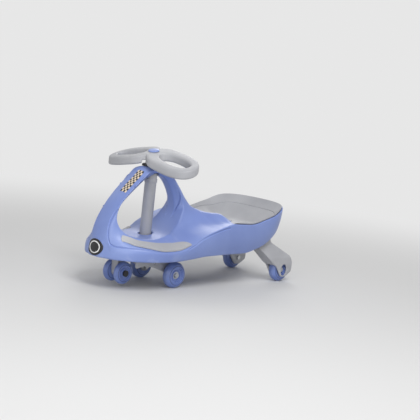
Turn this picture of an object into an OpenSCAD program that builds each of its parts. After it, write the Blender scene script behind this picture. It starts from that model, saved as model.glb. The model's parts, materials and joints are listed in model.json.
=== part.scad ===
// Wiggle car: a ride-on toy that the rider drives by turning the steering wheel to and fro.
// Millimetres, +X towards the nose, +Y to the left, +Z up, ground at z = 0.
// Shapes are drawn with the steering axis at x = 0 and moved as a whole at the end.

/* [Body] */
// Steering axis to the tip of the nose
nose_reach = 186; // [180:1:200]
// Steering axis to the tail of the seat
tail_reach = 484; // [478:1:492]
// Width across the seat rim
body_w = 304; // [290:1:330]
// Width across the foot wells
well_w = 284; // [270:1:300]
// Height of the arch's head, where the column comes out
head_z = 346; // [340:1:356]
// Height of the floor below the arch window
floor_z = 148; // [144:1:152]
// Height of the outer edge of the foot wells
well_z = 118; // [115:1:121]
// Height of the lower edge of the skirt
skirt_z = 91; // [90:1:94]
// Height of the seat floor
seat_z = 170; // [166:1:174]
// Height of the seat rim beside the rider
rim_z = 191; // [187:1:198]
// Height of the seat rim at the tail
tail_z = 248; // [240:1:254]
// Wall of the moulded shell
wall = 3; // [2.4:0.1:3.6]
// Half width of the arch at its head
head_half = 37; // [35:1:40]
// Half width of the window's inner wall
window_half = 13; // [11:1:16]
// How far the window's side bevels open outwards
window_flare = 22; // [16:1:26]

/* [Trim] */
// Thickness of the seat insert
seat_t = 3.5; // [2.5:0.1:5]
// Thickness of the foot pads
pad_t = 4; // [3:0.1:6]
// Height of the round nose disc
badge_h = 44; // [40:1:46]
// Width of the nose disc, seen from the front
badge_w = 60; // [54:1:64]
// Thickness of the nose disc
badge_t = 1.6; // [1:0.1:2.4]
// Gap behind the nose disc and round the seat's pegs
trim_gap = 0.8; // [0.6:0.05:1]
// Gap under the foot pads
pad_gap = 1.3; // [1.2:0.05:1.5]
// Gap under the seat insert, which stands on its pegs
seat_gap = 2.2; // [2:0.1:2.4]

/* [Column] */
// Diameter of the column cover
column_d = 34; // [32:0.5:36]
// Diameter of the steel steering tube
tube_d = 22; // [20:0.5:24]
// Wall of the steering tube
tube_wall = 2; // [1.5:0.1:3]
// Wall of the plastic bushes
bush_wall = 4; // [3:0.1:5]
// Flange of the head bush beyond its sleeve
bush_flange = 9; // [6:0.5:10]
// Thickness of the head bush's flange
flange_t = 6; // [4:0.5:7]
// Radial running clearance
run_gap = 0.05; // [0.03:0.01:0.08]
// Axial running clearance
face_gap = 0.4; // [0.3:0.05:0.6]
// Height of the collar under the steering wheel
collar_h = 10; // [8:0.5:14]

/* [Steering wheel] */
// Span of the steering wheel across both loops
grip_span = 346; // [336:2:360]
// Fore and aft size of a loop, outside
loop_len = 96; // [90:1:110]
// Width of the rim
rim_w = 24; // [21:0.5:26]
// Depth of the rim
rim_h = 25; // [22:0.5:28]
// Droop of the loops towards their ends, in degrees
loop_droop = 9.5; // [7:0.5:12]
// Fall of the loops towards the nose, in degrees
loop_tilt = 19; // [15:0.5:21]
// Depth of the hub under its middle
hub_h = 28; // [26:0.5:32]

/* [Wheels] */
// Diameter of the road wheels
wheel_d = 76; // [72:1:80]
// Width of the road wheels
wheel_w = 30; // [28:1:33]
// Hub core diameter
core_d = 46; // [44:1:48]
// Front axle behind the steering axis
axle_back = 63; // [58:1:68]
// Track of the front road wheels
front_track = 144; // [140:1:152]
// Rear axle behind the steering axis
rear_back = 495; // [485:1:505]
// Track of the rear wheels
rear_track = 202; // [196:1:210]
// Axle bolt diameter
axle_d = 8; // [8:0.5:8.5]
// Ball bearing outer diameter
bearing_d = 22; // [22:0.5:24]
// Ball bearing width
bearing_w = 7; // [6:0.5:8]
// Anti-tip wheel diameter
twin_d = 65; // [62:1:67]
// Anti-tip wheel width
twin_w = 18; // [16:1:20]
// Anti-tip axle ahead of the steering axis
twin_fore = 91; // [89:1:95]
// Spacing of the two anti-tip wheels
twin_space = 46; // [44:1:50]
// Height of the anti-tip wheels over the ground
twin_lift = 10; // [8:0.5:14]

/* [Running gear] */
// Thickness of the swing arm's plate
arm_t = 8; // [6:0.5:9]
// Thickness of the swing arm's side webs
leg_t = 6; // [5:0.5:7]
// Thrust washer under the body
washer_t = 2; // [1.5:0.1:2.5]
// Wall of the rear brackets
bracket_wall = 5; // [4:0.5:6]
// Room between a rear wheel and its fender
fender_gap = 5; // [4:0.5:6]
// Height of the seat of the rear brackets
bracket_z = 164; // [161:1:166]

/* [Hidden] */
$fn = 64;
blue = [0.49, 0.56, 0.77];
grey = [0.68, 0.68, 0.69];
black = [0.06, 0.06, 0.07];
steel = [0.72, 0.73, 0.75];
pale = [0.86, 0.88, 0.92];
sides = ["left", "right"];

// The length runs from the nose disc to the fender's back edge, and its middle is at x = 0
fender_back = rear_back + wheel_d / 2;
badge_face = nose_reach + trim_gap + badge_t;
steer_x = (fender_back - badge_face) / 2;
wheel_z = wheel_d / 2;
twin_z = twin_d / 2 + twin_lift;
column_r = column_d / 2;
bush_r = column_r + run_gap + bush_wall;
arm_top = skirt_z - 2;
boss_low = arm_top + washer_t + face_gap + 3;
boss_r = bush_r + 6;
head_low = head_z - 32;
flange_top = head_z + flange_t;
hub_z = flange_top + face_gap + collar_h;
cap_z = hub_z + hub_h;

// Helpers: smooth curves through a few points
function secant(p, i) = (p[i + 1][1] - p[i][1]) / (p[i + 1][0] - p[i][0]);
function tangent(p, i) =
    i == 0 ? secant(p, 0) :
    i == len(p) - 1 ? secant(p, i - 1) :
    secant(p, i - 1) * secant(p, i) <= 0 ? 0 :
    2 * secant(p, i - 1) * secant(p, i) / (secant(p, i - 1) + secant(p, i));
function span(p, x, i = 0) = i >= len(p) - 2 || x <= p[i + 1][0] ? i : span(p, x, i + 1);
function along(p, x) =
    let (i = span(p, x), h = p[i + 1][0] - p[i][0])
    let (t = min(1, max(0, (x - p[i][0]) / h)))
    p[i][1] * (1 + 2 * t) * pow(1 - t, 2) + p[i + 1][1] * t * t * (3 - 2 * t)
    + h * (tangent(p, i) * t * pow(1 - t, 2) - tangent(p, i + 1) * t * t * (1 - t));
function mix(a, b, t) = a + (b - a) * t;
function smooth(t) = let (c = min(1, max(0, t))) c * c * (3 - 2 * c);
function fore(f) = nose_reach * f;
function back(f) = -tail_reach * f;
function unit(v) = v / max(norm(v), 1e-9);

// A closed smooth outline through a few points, n steps for each of them
function loop_point(p, i, t) =
    let (m = len(p), a = p[(i + m - 1) % m], b = p[i % m], c = p[(i + 1) % m], d = p[(i + 2) % m])
    0.5 * (2 * b + (c - a) * t + (2 * a - 5 * b + 4 * c - d) * t * t
    + (3 * b - a - 3 * c + d) * t * t * t);
function closed_curve(p, n) = [for (i = [0 : len(p) - 1], k = [0 : n - 1]) loop_point(p, i, k / n)];
// Outward normals of a counter-clockwise outline, and the outline moved along them
function out_normal(p, i) =
    let (m = len(p), d = unit(p[(i + 1) % m] - p[(i + m - 1) % m])) [d[1], -d[0]];
function moved(p, d) = [for (i = [0 : len(p) - 1]) p[i] + d * out_normal(p, i)];

// Corners of an outline rounded by arcs; each corner is [x, y, radius]
function corner_arc(a, b, c) =
    let (u = unit([a[0] - b[0], a[1] - b[1]]), v = unit([c[0] - b[0], c[1] - b[1]]))
    let (half = acos(min(1, max(-1, u * v))) / 2, r = b[2], reach = r / tan(half))
    let (o = [b[0], b[1]] + unit(u + v) * r / sin(half))
    let (s = [b[0], b[1]] + u * reach - o, e = [b[0], b[1]] + v * reach - o)
    let (turn = 180 - 2 * half, way = u[0] * v[1] - u[1] * v[0] > 0 ? -1 : 1)
    r <= 0 ? [[b[0], b[1]]] :
    [for (k = [0 : 6]) let (q = way * turn * k / 6)
        o + [s[0] * cos(q) - s[1] * sin(q), s[0] * sin(q) + s[1] * cos(q)]];
function rounded(p) =
    let (m = len(p)) [for (i = [0 : m - 1]) each corner_arc(p[(i + m - 1) % m], p[i], p[(i + 1) % m])];

function ellipse(a, b, n) = [for (k = [0 : n - 1]) [a * cos(360 * k / n), b * sin(360 * k / n)]];

// A skin over rings of equal length, closed at both ends by fans
module skin(rings) {
    n = len(rings[0]);
    m = len(rings);
    mid = function (r) [for (a = [0 : 2]) [for (q = r) q[a]] * [for (q = r) 1] / n];
    points = concat([for (r = rings) each r], [mid(rings[0]), mid(rings[m - 1])]);
    sides_of = [for (i = [0 : m - 2], j = [0 : n - 1])
        let (a = i * n + j, b = i * n + (j + 1) % n, c = a + n, d = b + n)
        each [[a, d, b], [a, c, d]]];
    first = [for (j = [0 : n - 1]) [m * n, j, (j + 1) % n]];
    last = [for (j = [0 : n - 1]) [m * n + 1, (m - 1) * n + (j + 1) % n, (m - 1) * n + j]];
    polyhedron(points, concat(sides_of, first, last));
}

// A ring swept round on itself has no ends
module ring_skin(rings) {
    n = len(rings[0]);
    m = len(rings);
    faces = [for (i = [0 : m - 1], j = [0 : n - 1])
        let (a = i * n + j, b = i * n + (j + 1) % n)
        let (c = (i + 1) % m * n + j, d = (i + 1) % m * n + (j + 1) % n)
        each [[a, b, d], [a, d, c]]];
    polyhedron([for (r = rings) each r], faces);
}

// A sheet between two grids of points that lie over each other
module sheet(up, down) {
    m = len(up);
    n = len(up[0]);
    at = function (i, j) i * n + j;
    under = function (i, j) m * n + i * n + j;
    tops = [for (i = [0 : m - 2], j = [0 : n - 2])
        each [[at(i, j), at(i, j + 1), at(i + 1, j + 1)], [at(i, j), at(i + 1, j + 1), at(i + 1, j)]]];
    unders = [for (f = tops) [f[2] + m * n, f[1] + m * n, f[0] + m * n]];
    rim = concat(
        [for (j = [0 : n - 2]) [0, j]], [for (i = [0 : m - 2]) [i, n - 1]],
        [for (j = [n - 1 : -1 : 1]) [m - 1, j]], [for (i = [m - 1 : -1 : 1]) [i, 0]]);
    walls = [for (k = [0 : len(rim) - 1])
        let (a = rim[k], b = rim[(k + 1) % len(rim)])
        each [[at(a[0], a[1]), under(b[0], b[1]), at(b[0], b[1])],
        [at(a[0], a[1]), under(a[0], a[1]), under(b[0], b[1])]]];
    polyhedron([for (g = [up, down], row = g) each row], concat(tops, unders, walls));
}

// Body form: curves along the car, from the tail to the nose
tail_round = 120;
tail_mid = tail_round - tail_reach;
plan_power = 2.2;
tail_power = 2.8;
over_round = 1.004;
edge_curve = [
    [back(1), tail_z], [back(0.92), tail_z - 6], [back(0.78), rim_z + 26], [back(0.57), rim_z + 2],
    [back(0.4), rim_z - 2], [back(0.297), mix(well_z, rim_z, 0.82)], [back(0.194), mix(well_z, rim_z, 0.56)],
    [back(0.132), mix(well_z, rim_z, 0.31)], [back(0.089), mix(well_z, rim_z, 0.17)], [back(0.02), well_z + 3],
    [fore(0.2), well_z + 1], [fore(0.4), well_z + 3], [fore(0.7), well_z + 11], [fore(0.87), well_z + 16],
    [fore(0.95), well_z + 17], [nose_reach, well_z + 15]];
low_curve = [
    [back(1), tail_z - 26], [back(0.92), seat_z + 2], [back(0.8), skirt_z + 38], [back(0.72), skirt_z + 23],
    [back(0.6), skirt_z + 11], [back(0.28), skirt_z + 10], [back(0.14), skirt_z + 4], [0, skirt_z],
    [nose_reach, skirt_z]];
tuck_curve = [[back(1), 6], [back(0.8), 22], [back(0.5), 23], [back(0.2), 14], [0, 7], [nose_reach, 4]];
crown_curve = [
    [back(1), seat_z - tail_z + 30], [back(0.92), seat_z - tail_z + 30], [back(0.84), seat_z - tail_z + 22],
    [back(0.74), seat_z - rim_z - 14],
    [back(0.57), seat_z - rim_z - 2], [back(0.39), -8], [back(0.29), 0], [back(0.185), 10],
    [back(0.09), 20], [0, floor_z - well_z - 4], [fore(0.3), floor_z - well_z - 4],
    [fore(0.7), 20], [nose_reach, 4]];
bowl_curve = [[back(1), 3.6], [back(0.57), 4], [back(0.39), 3], [back(0.185), 2], [nose_reach, 2]];
crest_curve = [
    [back(1), seat_z - 20], [back(0.7), seat_z - 3], [back(0.645), seat_z], [back(0.6), seat_z + 13],
    [back(0.55), seat_z + 19], [back(0.48), seat_z + 30], [back(0.35), seat_z + 55], [back(0.3), seat_z + 66],
    [back(0.25), head_z - 84], [back(0.2), head_z - 52], [back(0.135), head_z - 20], [back(0.066), head_z],
    [fore(0.13), head_z], [fore(0.38), head_z - 36], [fore(0.69), head_z - 94], [fore(0.88), head_z - 150],
    [nose_reach, well_z + 30]];
fin_curve = [
    [back(1), 30], [back(0.62), 30], [back(0.58), 58], [back(0.52), 86], [back(0.46), 82], [back(0.4), 48],
    [back(0.35), 25], [back(0.25), 17], [back(0.2), 17], [back(0.1), 27], [back(0.066), head_half - 1],
    [fore(0.18), head_half], [fore(0.38), head_half], [fore(0.69), 31], [fore(0.86), 30], [nose_reach, 24]];
soft_curve = [
    [back(1), 40], [back(0.5), 34], [back(0.4), 40], [back(0.3), 36], [back(0.2), 23], [back(0.1), 15],
    [0, 13], [fore(0.7), 16], [nose_reach, 16]];
flank_power = 2.6;
crest_round = 0.03;

// Half width of the body's edge at x
function plan_half(w, d, reach, power) =
    w / 2 * pow(max(0, 1 - pow(d / (reach * over_round), power)), 1 / power);
function edge_half(x) =
    x >= 0 ? plan_half(well_w, x, nose_reach, plan_power) :
    x >= tail_mid ? mix(well_w, body_w, smooth(x / back(0.39))) / 2 :
    plan_half(body_w, tail_mid - x, tail_round, tail_power);
// How near a point of the deck is to the edge: 0 in the middle, 1 at the edge
function edge_share(x, y) =
    x >= tail_mid ? min(1, abs(y) / max(edge_half(x), 0.001)) :
    min(1, pow(pow(abs(y) / (body_w / 2), tail_power)
    + pow((tail_mid - x) / (tail_round * over_round), tail_power), 1 / tail_power));
// Deck without the fin, then with it
function deck_z(x, y) =
    along(edge_curve, x) + along(crown_curve, x) * (1 - pow(edge_share(x, y), along(bowl_curve, x)));
fin_share = 0.5;
soft_share = 0.4;
function fin_half(x) = min(along(fin_curve, x), fin_share * edge_half(x));
function fin_soft(x) = min(along(soft_curve, x), soft_share * edge_half(x));
function top_z(x, y) =
    let (over = max(0, along(crest_curve, x) - deck_z(x, 0)))
    let (d = max(0, abs(y) - fin_half(x)) / fin_soft(x))
    let (crowned = over * (1 - crest_round * pow(min(1, abs(y) / fin_half(x)), 2)))
    deck_z(x, y) + crowned / (1 + pow(d, flank_power));

// One half section: deck from the middle to the edge, then down the skirt
deck_steps = 9;
skirt_steps = 3;
function spread(x, f) =
    let (seat = smooth((x - back(0.39)) / (back(0.57) - back(0.39))))
    mix(f * f, 1 - pow(1 - f, 1.6), seat);
function deck_ys(x) = concat(
    [0, fin_half(x) * 0.6, fin_half(x)],
    [for (k = [1 : deck_steps]) mix(fin_half(x), edge_half(x), spread(x, k / deck_steps))]);
function skirt_point(x, t) =
    let (e = edge_half(x), b = e * (1 - 2 * along(tuck_curve, x) / body_w))
    [x, mix(e, b, t * t), mix(along(edge_curve, x), along(low_curve, x), t)];
function half_section(x) = concat(
    [for (y = deck_ys(x)) [x, y, top_z(x, y)]],
    [for (k = [1 : skirt_steps]) skirt_point(x, k / skirt_steps)]);
function mirrored(p) = [p[0], -p[1], p[2]];
function both_sides(h) = concat([for (k = [len(h) - 1 : -1 : 1]) mirrored(h[k])], h);

// Stations close up where the plan outline turns quickly
nose_steps = 12;
mid_steps = 20;
tail_steps = 10;
stations = concat(
    [for (k = [0 : nose_steps - 1]) nose_reach * cos(90 * k / nose_steps)],
    [for (k = [0 : mid_steps - 1]) mix(0, tail_mid, k / mid_steps)],
    [for (k = [0 : tail_steps]) tail_mid - tail_round * sin(90 * k / tail_steps)]);
outer_rings = [for (x = stations) both_sides(half_section(x))];
// The inside of the shell: the deck lowered by the wall along its slope, a solid lip under the seat rim,
// and the skirt moved in and run on downwards, where the shell is open
open_below = 40;
lip_w = 10;
side_wall = 1.2 * wall;
function lip(x) = mix(side_wall, lip_w, smooth((x - back(0.3)) / (back(0.45) - back(0.3))));
function inner_x(x) = x * (x >= 0 ? 1 - side_wall / nose_reach : 1 - lip_w / tail_reach);
function slope(x, y) = norm([top_z(x + 1, y) - top_z(x - 1, y), top_z(x, y + 1) - top_z(x, y - 1)]) / 2;
function inner_top(x, y) = top_z(x, y) - wall * sqrt(1 + pow(slope(x, y), 2));
function inner_skirt(x, k, top) =
    let (q = skirt_point(x, k / skirt_steps))
    [x, max(1, q[1] - side_wall), min(q[2], top - 2 * k) - (k == skirt_steps ? open_below : 0)];
function inner_half(x) =
    let (a = inner_x(x), e = max(1, edge_half(a) - lip(a)), top = inner_top(a, e))
    concat(
        [for (y = deck_ys(x)) let (d = e * y / edge_half(x)) [a, d, inner_top(a, d)]],
        [for (k = [1 : skirt_steps]) inner_skirt(a, k, top)]);
inner_rings = [for (x = stations) both_sides(inner_half(x))];

module body_block() skin(outer_rings);
module body_room() skin(inner_rings);

// Arch window: a smooth egg in the side view, with bevelled sides that open outwards
window_points = [
    [fore(0.2), floor_z - 1], [fore(0.62), floor_z + 10], [fore(0.745), floor_z + 42],
    [fore(0.62), head_z - 110], [fore(0.31), head_z - 57], [fore(0.1), head_low + 2],
    [back(0.07), head_low + 2], [back(0.14), head_z - 60], [back(0.185), head_z - 109],
    [back(0.168), floor_z + 44], [back(0.07), floor_z + 12]];
window_line = closed_curve(window_points, 3);
window_reach = 115;
flare_top = head_z - 60;
function flare_low(x) = mix(floor_z + 45, floor_z + 8, smooth(x / fore(0.5)));
function flare_at(p) = window_flare * smooth((p[1] - flare_low(p[0])) / (flare_top - flare_low(p[0])) * 1.4);
function window_ring(y, grow) =
    let (share = min(1, max(0, abs(y) - window_half) / (head_half - window_half)))
    [for (i = [0 : len(window_line) - 1])
        let (q = window_line[i] + (grow + share * flare_at(window_line[i])) * out_normal(window_line, i))
        [q[0], y, q[1]]];
window_ys = [window_reach, head_half, window_half, -window_half, -head_half, -window_reach];
module window(grow = 0) skin([for (y = window_ys) window_ring(y, grow)]);

// A moulded piece is held to its stated length and width
module moulded(size) resize(size) children();
// A rod along Y through [x, z], from y1 to y2
module rod(x, z, d, y1, y2) translate([x, y2, z]) rotate([90, 0, 0]) cylinder(d = d, h = y2 - y1);
module hex_rod(x, z, across, y1, y2)
    translate([x, y2, z]) rotate([90, 0, 0]) cylinder(d = across / cos(30), h = y2 - y1, $fn = 6);
// An outline in the side view, given depth along Y
module plate(outline, y1, y2) translate([0, y2, 0]) rotate([90, 0, 0]) linear_extrude(y2 - y1) polygon(outline);
// Left and right pieces are mirror images
module on(side) mirror([0, side == "right" ? 1 : 0, 0]) children();

// Rear bracket: a cored arm under the seat, with a fender over the wheel
rear_y = rear_track / 2;
bracket_in = rear_y - wheel_w / 2 - 2;
bracket_out = rear_y + wheel_w / 2 + 3 + bracket_wall;
arm_in = bracket_in - bracket_wall - 5;
arm_out = rear_y + 10;
bracket_front = rear_back - 116;
bracket_rear = rear_back - 66;
screw_d = 4;
screw_head_t = 3;
pilot_deep = 12;
small_fn = 16;
bracket_screws_at = [for (x = [-bracket_front - 10, -bracket_rear + 10], y = [arm_in + 9, arm_out - 9]) [x, y]];

// Ribs and seats inside the shell
rib_t = 3;
rib_z = 136;
rib_xs = [for (k = [0 : 2]) back(0.46 + 0.11 * k)];
rib_ys = [-42, 42];
peg_d = 10;
peg_xs = [back(0.62), back(0.84)];
peg_ys = [-56, 56];
module boss(z1, z2) translate([0, 0, z1]) cylinder(r = boss_r, h = z2 - z1, $fn = 32);
module bracket_seat() translate([-bracket_rear, arm_in, bracket_z])
    cube([bracket_rear - bracket_front, arm_out - arm_in, 60]);
module ribs() {
    for (x = rib_xs) translate([x, -body_w, rib_z]) cube([rib_t, 2 * body_w, 100]);
    for (y = rib_ys)
        translate([back(0.8), y - rib_t / 2, rib_z + 12]) cube([back(0.44) - back(0.8), rib_t, 100]);
}
module body_mesh() difference() {
    body_block();
    window();
    difference() {
        body_room();
        window(wall);
        boss(head_low - 6, head_z);
        boss(boss_low, floor_z);
        for (s = sides) on(s) bracket_seat();
        ribs();
    }
    for (s = sides) on(s) for (p = bracket_screws_at)
        translate([p[0], p[1], bracket_z - 1]) cylinder(d = screw_d + 0.2, h = pilot_deep + 1, $fn = small_fn);
    for (x = peg_xs, y = peg_ys)
        translate([x, y, seat_z - 20]) cylinder(d = peg_d + 2 * trim_gap, h = 60, $fn = small_fn);
}
module body_shell() color(blue) difference() {
    moulded([nose_reach + tail_reach, body_w, 0]) body_mesh();
    translate([0, 0, head_low - 10]) cylinder(r = bush_r, h = head_z - head_low + 20);
    translate([0, 0, boss_low - 1]) cylinder(r = bush_r, h = floor_z - boss_low + 10);
}

// Trim lies on the deck: a grid of points in plan is lifted to the deck, then given its thickness
function lifted(grid, d) = [for (row = grid) [for (p = row) [p[0], p[1], top_z(p[0], p[1]) + d]]];
module deck_sheet(grid, gap, t) sheet(lifted(grid, gap + t), lifted(grid, gap));

// Seat insert: from the curved end of the body's tongue back to the tail
seat_inset = 4;
seat_half = body_w / 2 - seat_inset;
seat_front = back(0.4);
tongue_end = back(0.605);
tongue_power = 2.2;
seat_rows = 20;
seat_columns = 20;
function tongue_x(y) = mix(tongue_end, seat_front, pow(abs(y) / seat_half, tongue_power));
function tail_x(y) =
    tail_mid - (tail_round - seat_inset) * pow(max(0, 1 - pow(abs(y) / seat_half, tail_power)), 1 / tail_power);
seat_grid = [for (k = [0 : seat_columns])
    let (y = seat_half * sin(90 * (2 * k / seat_columns - 1)))
    [for (i = [0 : seat_rows]) [mix(tongue_x(y), tail_x(y), i / seat_rows), y]]];
peg_low = wall + 5;
module at_pegs(z) for (x = peg_xs, y = peg_ys) translate([x, y, top_z(x, y) + z]) children();
module seat_pan() color(grey) difference() {
    union() {
        deck_sheet(seat_grid, seat_gap, seat_t);
        at_pegs(-peg_low) cylinder(d = peg_d, h = peg_low + seat_gap + seat_t / 2);
    }
    at_pegs(-peg_low - 1) cylinder(d = screw_d, h = peg_low);
}
module seat_screws() color(steel) at_pegs(-peg_low) {
    translate([0, 0, -screw_head_t]) cylinder(d = peg_d + 4, h = screw_head_t);
    cylinder(d = screw_d, h = peg_low - 1);
}

// Foot pads in the wells on either side of the arch
pad_inset = 4;
pad_rear = back(0.112);
pad_front = fore(0.78);
pad_rows = 22;
pad_columns = 5;
pad_in_curve = [
    [back(0.112), 133], [back(0.105), 122], [back(0.085), 112], [back(0.04), 105], [fore(0.05), 101],
    [fore(0.25), 96], [fore(0.5), 84], [fore(0.68), 64], [fore(0.75), 58], [fore(0.78), 62]];
function pad_half_width(x) = edge_half(x) - pad_inset;
function pad_out(x) =
    let (d = max(0, (x - fore(0.62)) / (pad_front - fore(0.62))))
    mix(pad_half_width(x), along(pad_in_curve, pad_front) + 6, d * d);
pad_grid = [for (k = [0 : pad_columns])
    [for (i = [0 : pad_rows])
        let (x = mix(pad_front, pad_rear, (1 - cos(180 * i / pad_rows)) / 2))
        [x, mix(along(pad_in_curve, x), pad_out(x), k / pad_columns)]]];
module foot_pad(side) color(grey) on(side) deck_sheet(pad_grid, pad_gap, pad_t);

// Nose disc: bent round the nose
badge_z = 118;
badge_steps = 10;
function nose_x(y) =
    nose_reach * min(1, over_round * pow(1 - pow(abs(2 * y / well_w), plan_power), 1 / plan_power));
function badge_grid(d) = [for (i = [0 : badge_steps]) [for (j = [0 : badge_steps])
    let (u = 2 * i / badge_steps - 1, v = 2 * j / badge_steps - 1)
    let (y = badge_w / 2 * u * sqrt(1 - v * v / 2), z = badge_h / 2 * v * sqrt(1 - u * u / 2))
    [nose_x(y) + d, y, badge_z + z]]];
module nose_badge() color(black) sheet(badge_grid(trim_gap + badge_t), badge_grid(trim_gap));

// Bushes
module head_bush() color(black) rotate_extrude()
    polygon([[column_r + run_gap, head_low + 12], [bush_r, head_low + 12], [bush_r, head_z],
        [bush_r + bush_flange, head_z], [bush_r + bush_flange, flange_top - 2],
        [bush_r + bush_flange - 2, flange_top], [column_r + run_gap, flange_top]]);
module floor_bush() color(black) rotate_extrude()
    polygon([[column_r + run_gap, boss_low - 3], [boss_r, boss_low - 3], [boss_r, boss_low], [bush_r, boss_low],
        [bush_r, floor_z - 6], [column_r + run_gap, floor_z - 6]]);

// Rear brackets
axle_boss_d = 16;
fender_inner = wheel_z + fender_gap;
seat_plate = 6;
hub_slot = [13, 18];
core_low = wheel_z + fender_inner + bracket_wall;
bracket_side = rounded([
    [-bracket_front, bracket_z, 0], [-bracket_rear, bracket_z, 0], [-bracket_rear - 2, bracket_z - 34, 14],
    [-fender_back + 12, wheel_z + fender_inner + 2, 18], [-fender_back, wheel_z + 24, 12],
    [-fender_back + 2, wheel_z - 6, 6], [-rear_back - 12, 17, 10], [-rear_back + 12, 17, 12],
    [-rear_back + 36, wheel_z + 12, 10], [-rear_back + 56, wheel_z + 24, 10],
    [-bracket_front, bracket_z - 54, 10]]);
bracket_front_view = rounded([
    [arm_in, bracket_z, 0], [arm_in, bracket_z - 60, 20], [bracket_in - bracket_wall - 3, wheel_z + 46, 20],
    [bracket_in - bracket_wall - 3, 0, 0], [bracket_out, 0, 0], [bracket_out, wheel_z + 40, 26],
    [arm_out, bracket_z - 40, 26], [arm_out, bracket_z, 0]]);
module bracket_form() intersection() {
    plate(bracket_side, arm_in - 20, bracket_out + 20);
    translate([-fender_back - 50, 0, 0]) rotate([90, 0, 90]) linear_extrude(fender_back)
        polygon(bracket_front_view);
}
// The arm is cored from its inner side, with one rib left across it
module bracket_core() difference() {
    intersection() {
        plate(moved(bracket_side, -bracket_wall), arm_in - 1, arm_out - bracket_wall);
        translate([-fender_back, 0, core_low])
            cube([fender_back, bracket_out, bracket_z - seat_plate - core_low]);
    }
    translate([-bracket_rear - 4, 0, core_low - 1]) cube([rib_t, bracket_out, bracket_z]);
}
module rear_bracket(side) color(grey) on(side) difference() {
    union() {
        difference() {
            bracket_form();
            bracket_core();
            rod(-rear_back, wheel_z, 2 * fender_inner, bracket_in, bracket_out - bracket_wall);
        }
        rod(-rear_back, wheel_z, axle_boss_d, bracket_in - 1, axle_in(rear_y) - face_gap);
    }
    rod(-rear_back, wheel_z, axle_d, 0, rear_y);
    translate([-rear_back, bracket_out - bracket_wall - 1, wheel_z]) rotate([-90, 0, 0])
        linear_extrude(bracket_wall + 2) polygon(ellipse(hub_slot[0], hub_slot[1], 36));
    for (p = bracket_screws_at)
        translate([p[0], p[1], bracket_z - seat_plate - 1]) cylinder(d = screw_d, h = seat_plate + 2);
}
module bracket_screws() color(steel) for (s = sides) on(s) for (p = bracket_screws_at)
    translate([p[0], p[1], bracket_z - seat_plate]) {
        translate([0, 0, -screw_head_t]) cylinder(d = 2 * screw_d, h = screw_head_t);
        cylinder(d = screw_d, h = seat_plate + pilot_deep - 1);
    }

// Road wheels
bearing_face = wheel_w / 2 - 6;
core_half = wheel_w / 2 - 2;
light_in = bearing_d / 2 + 4;
light_out = core_d / 2 - 4;
function axle_in(y) = y - bearing_face;
function axle_out(y) = y + bearing_face;
module wheel_turn(x, y) translate([x, y, wheel_z]) rotate([-90, 0, 0]) rotate_extrude() children();
tyre_line = rounded([
    [core_d / 2, -wheel_w / 2, 0], [core_d / 2 + 6, -wheel_w / 2, 5], [wheel_d / 2, -wheel_w / 2 + 9, 9],
    [wheel_d / 2, wheel_w / 2 - 9, 9], [core_d / 2 + 6, wheel_w / 2, 5], [core_d / 2, wheel_w / 2, 0]]);
module tyre(x, y) color(blue) wheel_turn(x, y) polygon(tyre_line);
module hub_core(x, y) color(blue) wheel_turn(x, y) difference() {
    translate([0, -core_half]) square([core_d / 2 - run_gap, 2 * core_half]);
    translate([-1, -core_half - 1]) square([bearing_d / 2 + 1, 2 * core_half + 2]);
    translate([0, bearing_face]) square([bearing_d / 2 + 3, wheel_w]);
    translate([0, -bearing_face - wheel_w]) square([bearing_d / 2 + 3, wheel_w]);
    translate([bearing_d / 2 + 5, core_half - 3]) square([4, wheel_w]);
    translate([light_in, -core_half - 1]) square([light_out - light_in, core_half + 4]);
}
module light_ring(x, y) color(pale) wheel_turn(x, y)
    translate([light_in + run_gap, -core_half + 4]) square([light_out - light_in - 2 * run_gap, core_half - 2]);
module bearings(x, y) color(steel) for (d = [-bearing_face, bearing_face - bearing_w]) wheel_turn(x, y)
    translate([axle_d / 2 + run_gap, d]) square([(bearing_d - axle_d) / 2 - 2 * run_gap, bearing_w]);
module magnet_sleeve(x, y) color(black) wheel_turn(x, y)
    translate([axle_d / 2, bearing_w + face_gap - bearing_face])
        square([3, 2 * (bearing_face - bearing_w - face_gap)]);
nut_t = 5;
nut_across = 13;
module axle_bolt(x, y, y_head) color(steel) {
    rod(x, wheel_z, axle_d, y_head - 1, axle_out(y) + face_gap + nut_t);
    hex_rod(x, wheel_z, nut_across, y_head - nut_t, y_head);
}
module axle_nut(x, y) color(steel) difference() {
    hex_rod(x, wheel_z, nut_across, axle_out(y) + face_gap, axle_out(y) + face_gap + nut_t);
    rod(x, wheel_z, axle_d, y, y + wheel_w);
}

// Swing arm: a cored plate with legs for the front wheels and a carrier for the twin wheels
front_y = front_track / 2;
leg_out = front_y - wheel_w / 2 - 2;
leg_in = leg_out - leg_t;
hub_r = boss_r + 2;
carrier_half = twin_space / 2 - twin_w / 2 - face_gap;
arm_half = [
    [twin_fore + 17, carrier_half + 4, 8], [twin_fore - 10, leg_out, 20], [-axle_back - 22, leg_out, 8],
    [-axle_back - 22, leg_in - 12, 8], [-hub_r - 4, 14, 16]];
arm_outline = rounded(concat(arm_half,
    [for (k = [len(arm_half) - 1 : -1 : 0]) [arm_half[k][0], -arm_half[k][1], arm_half[k][2]]]));
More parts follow.
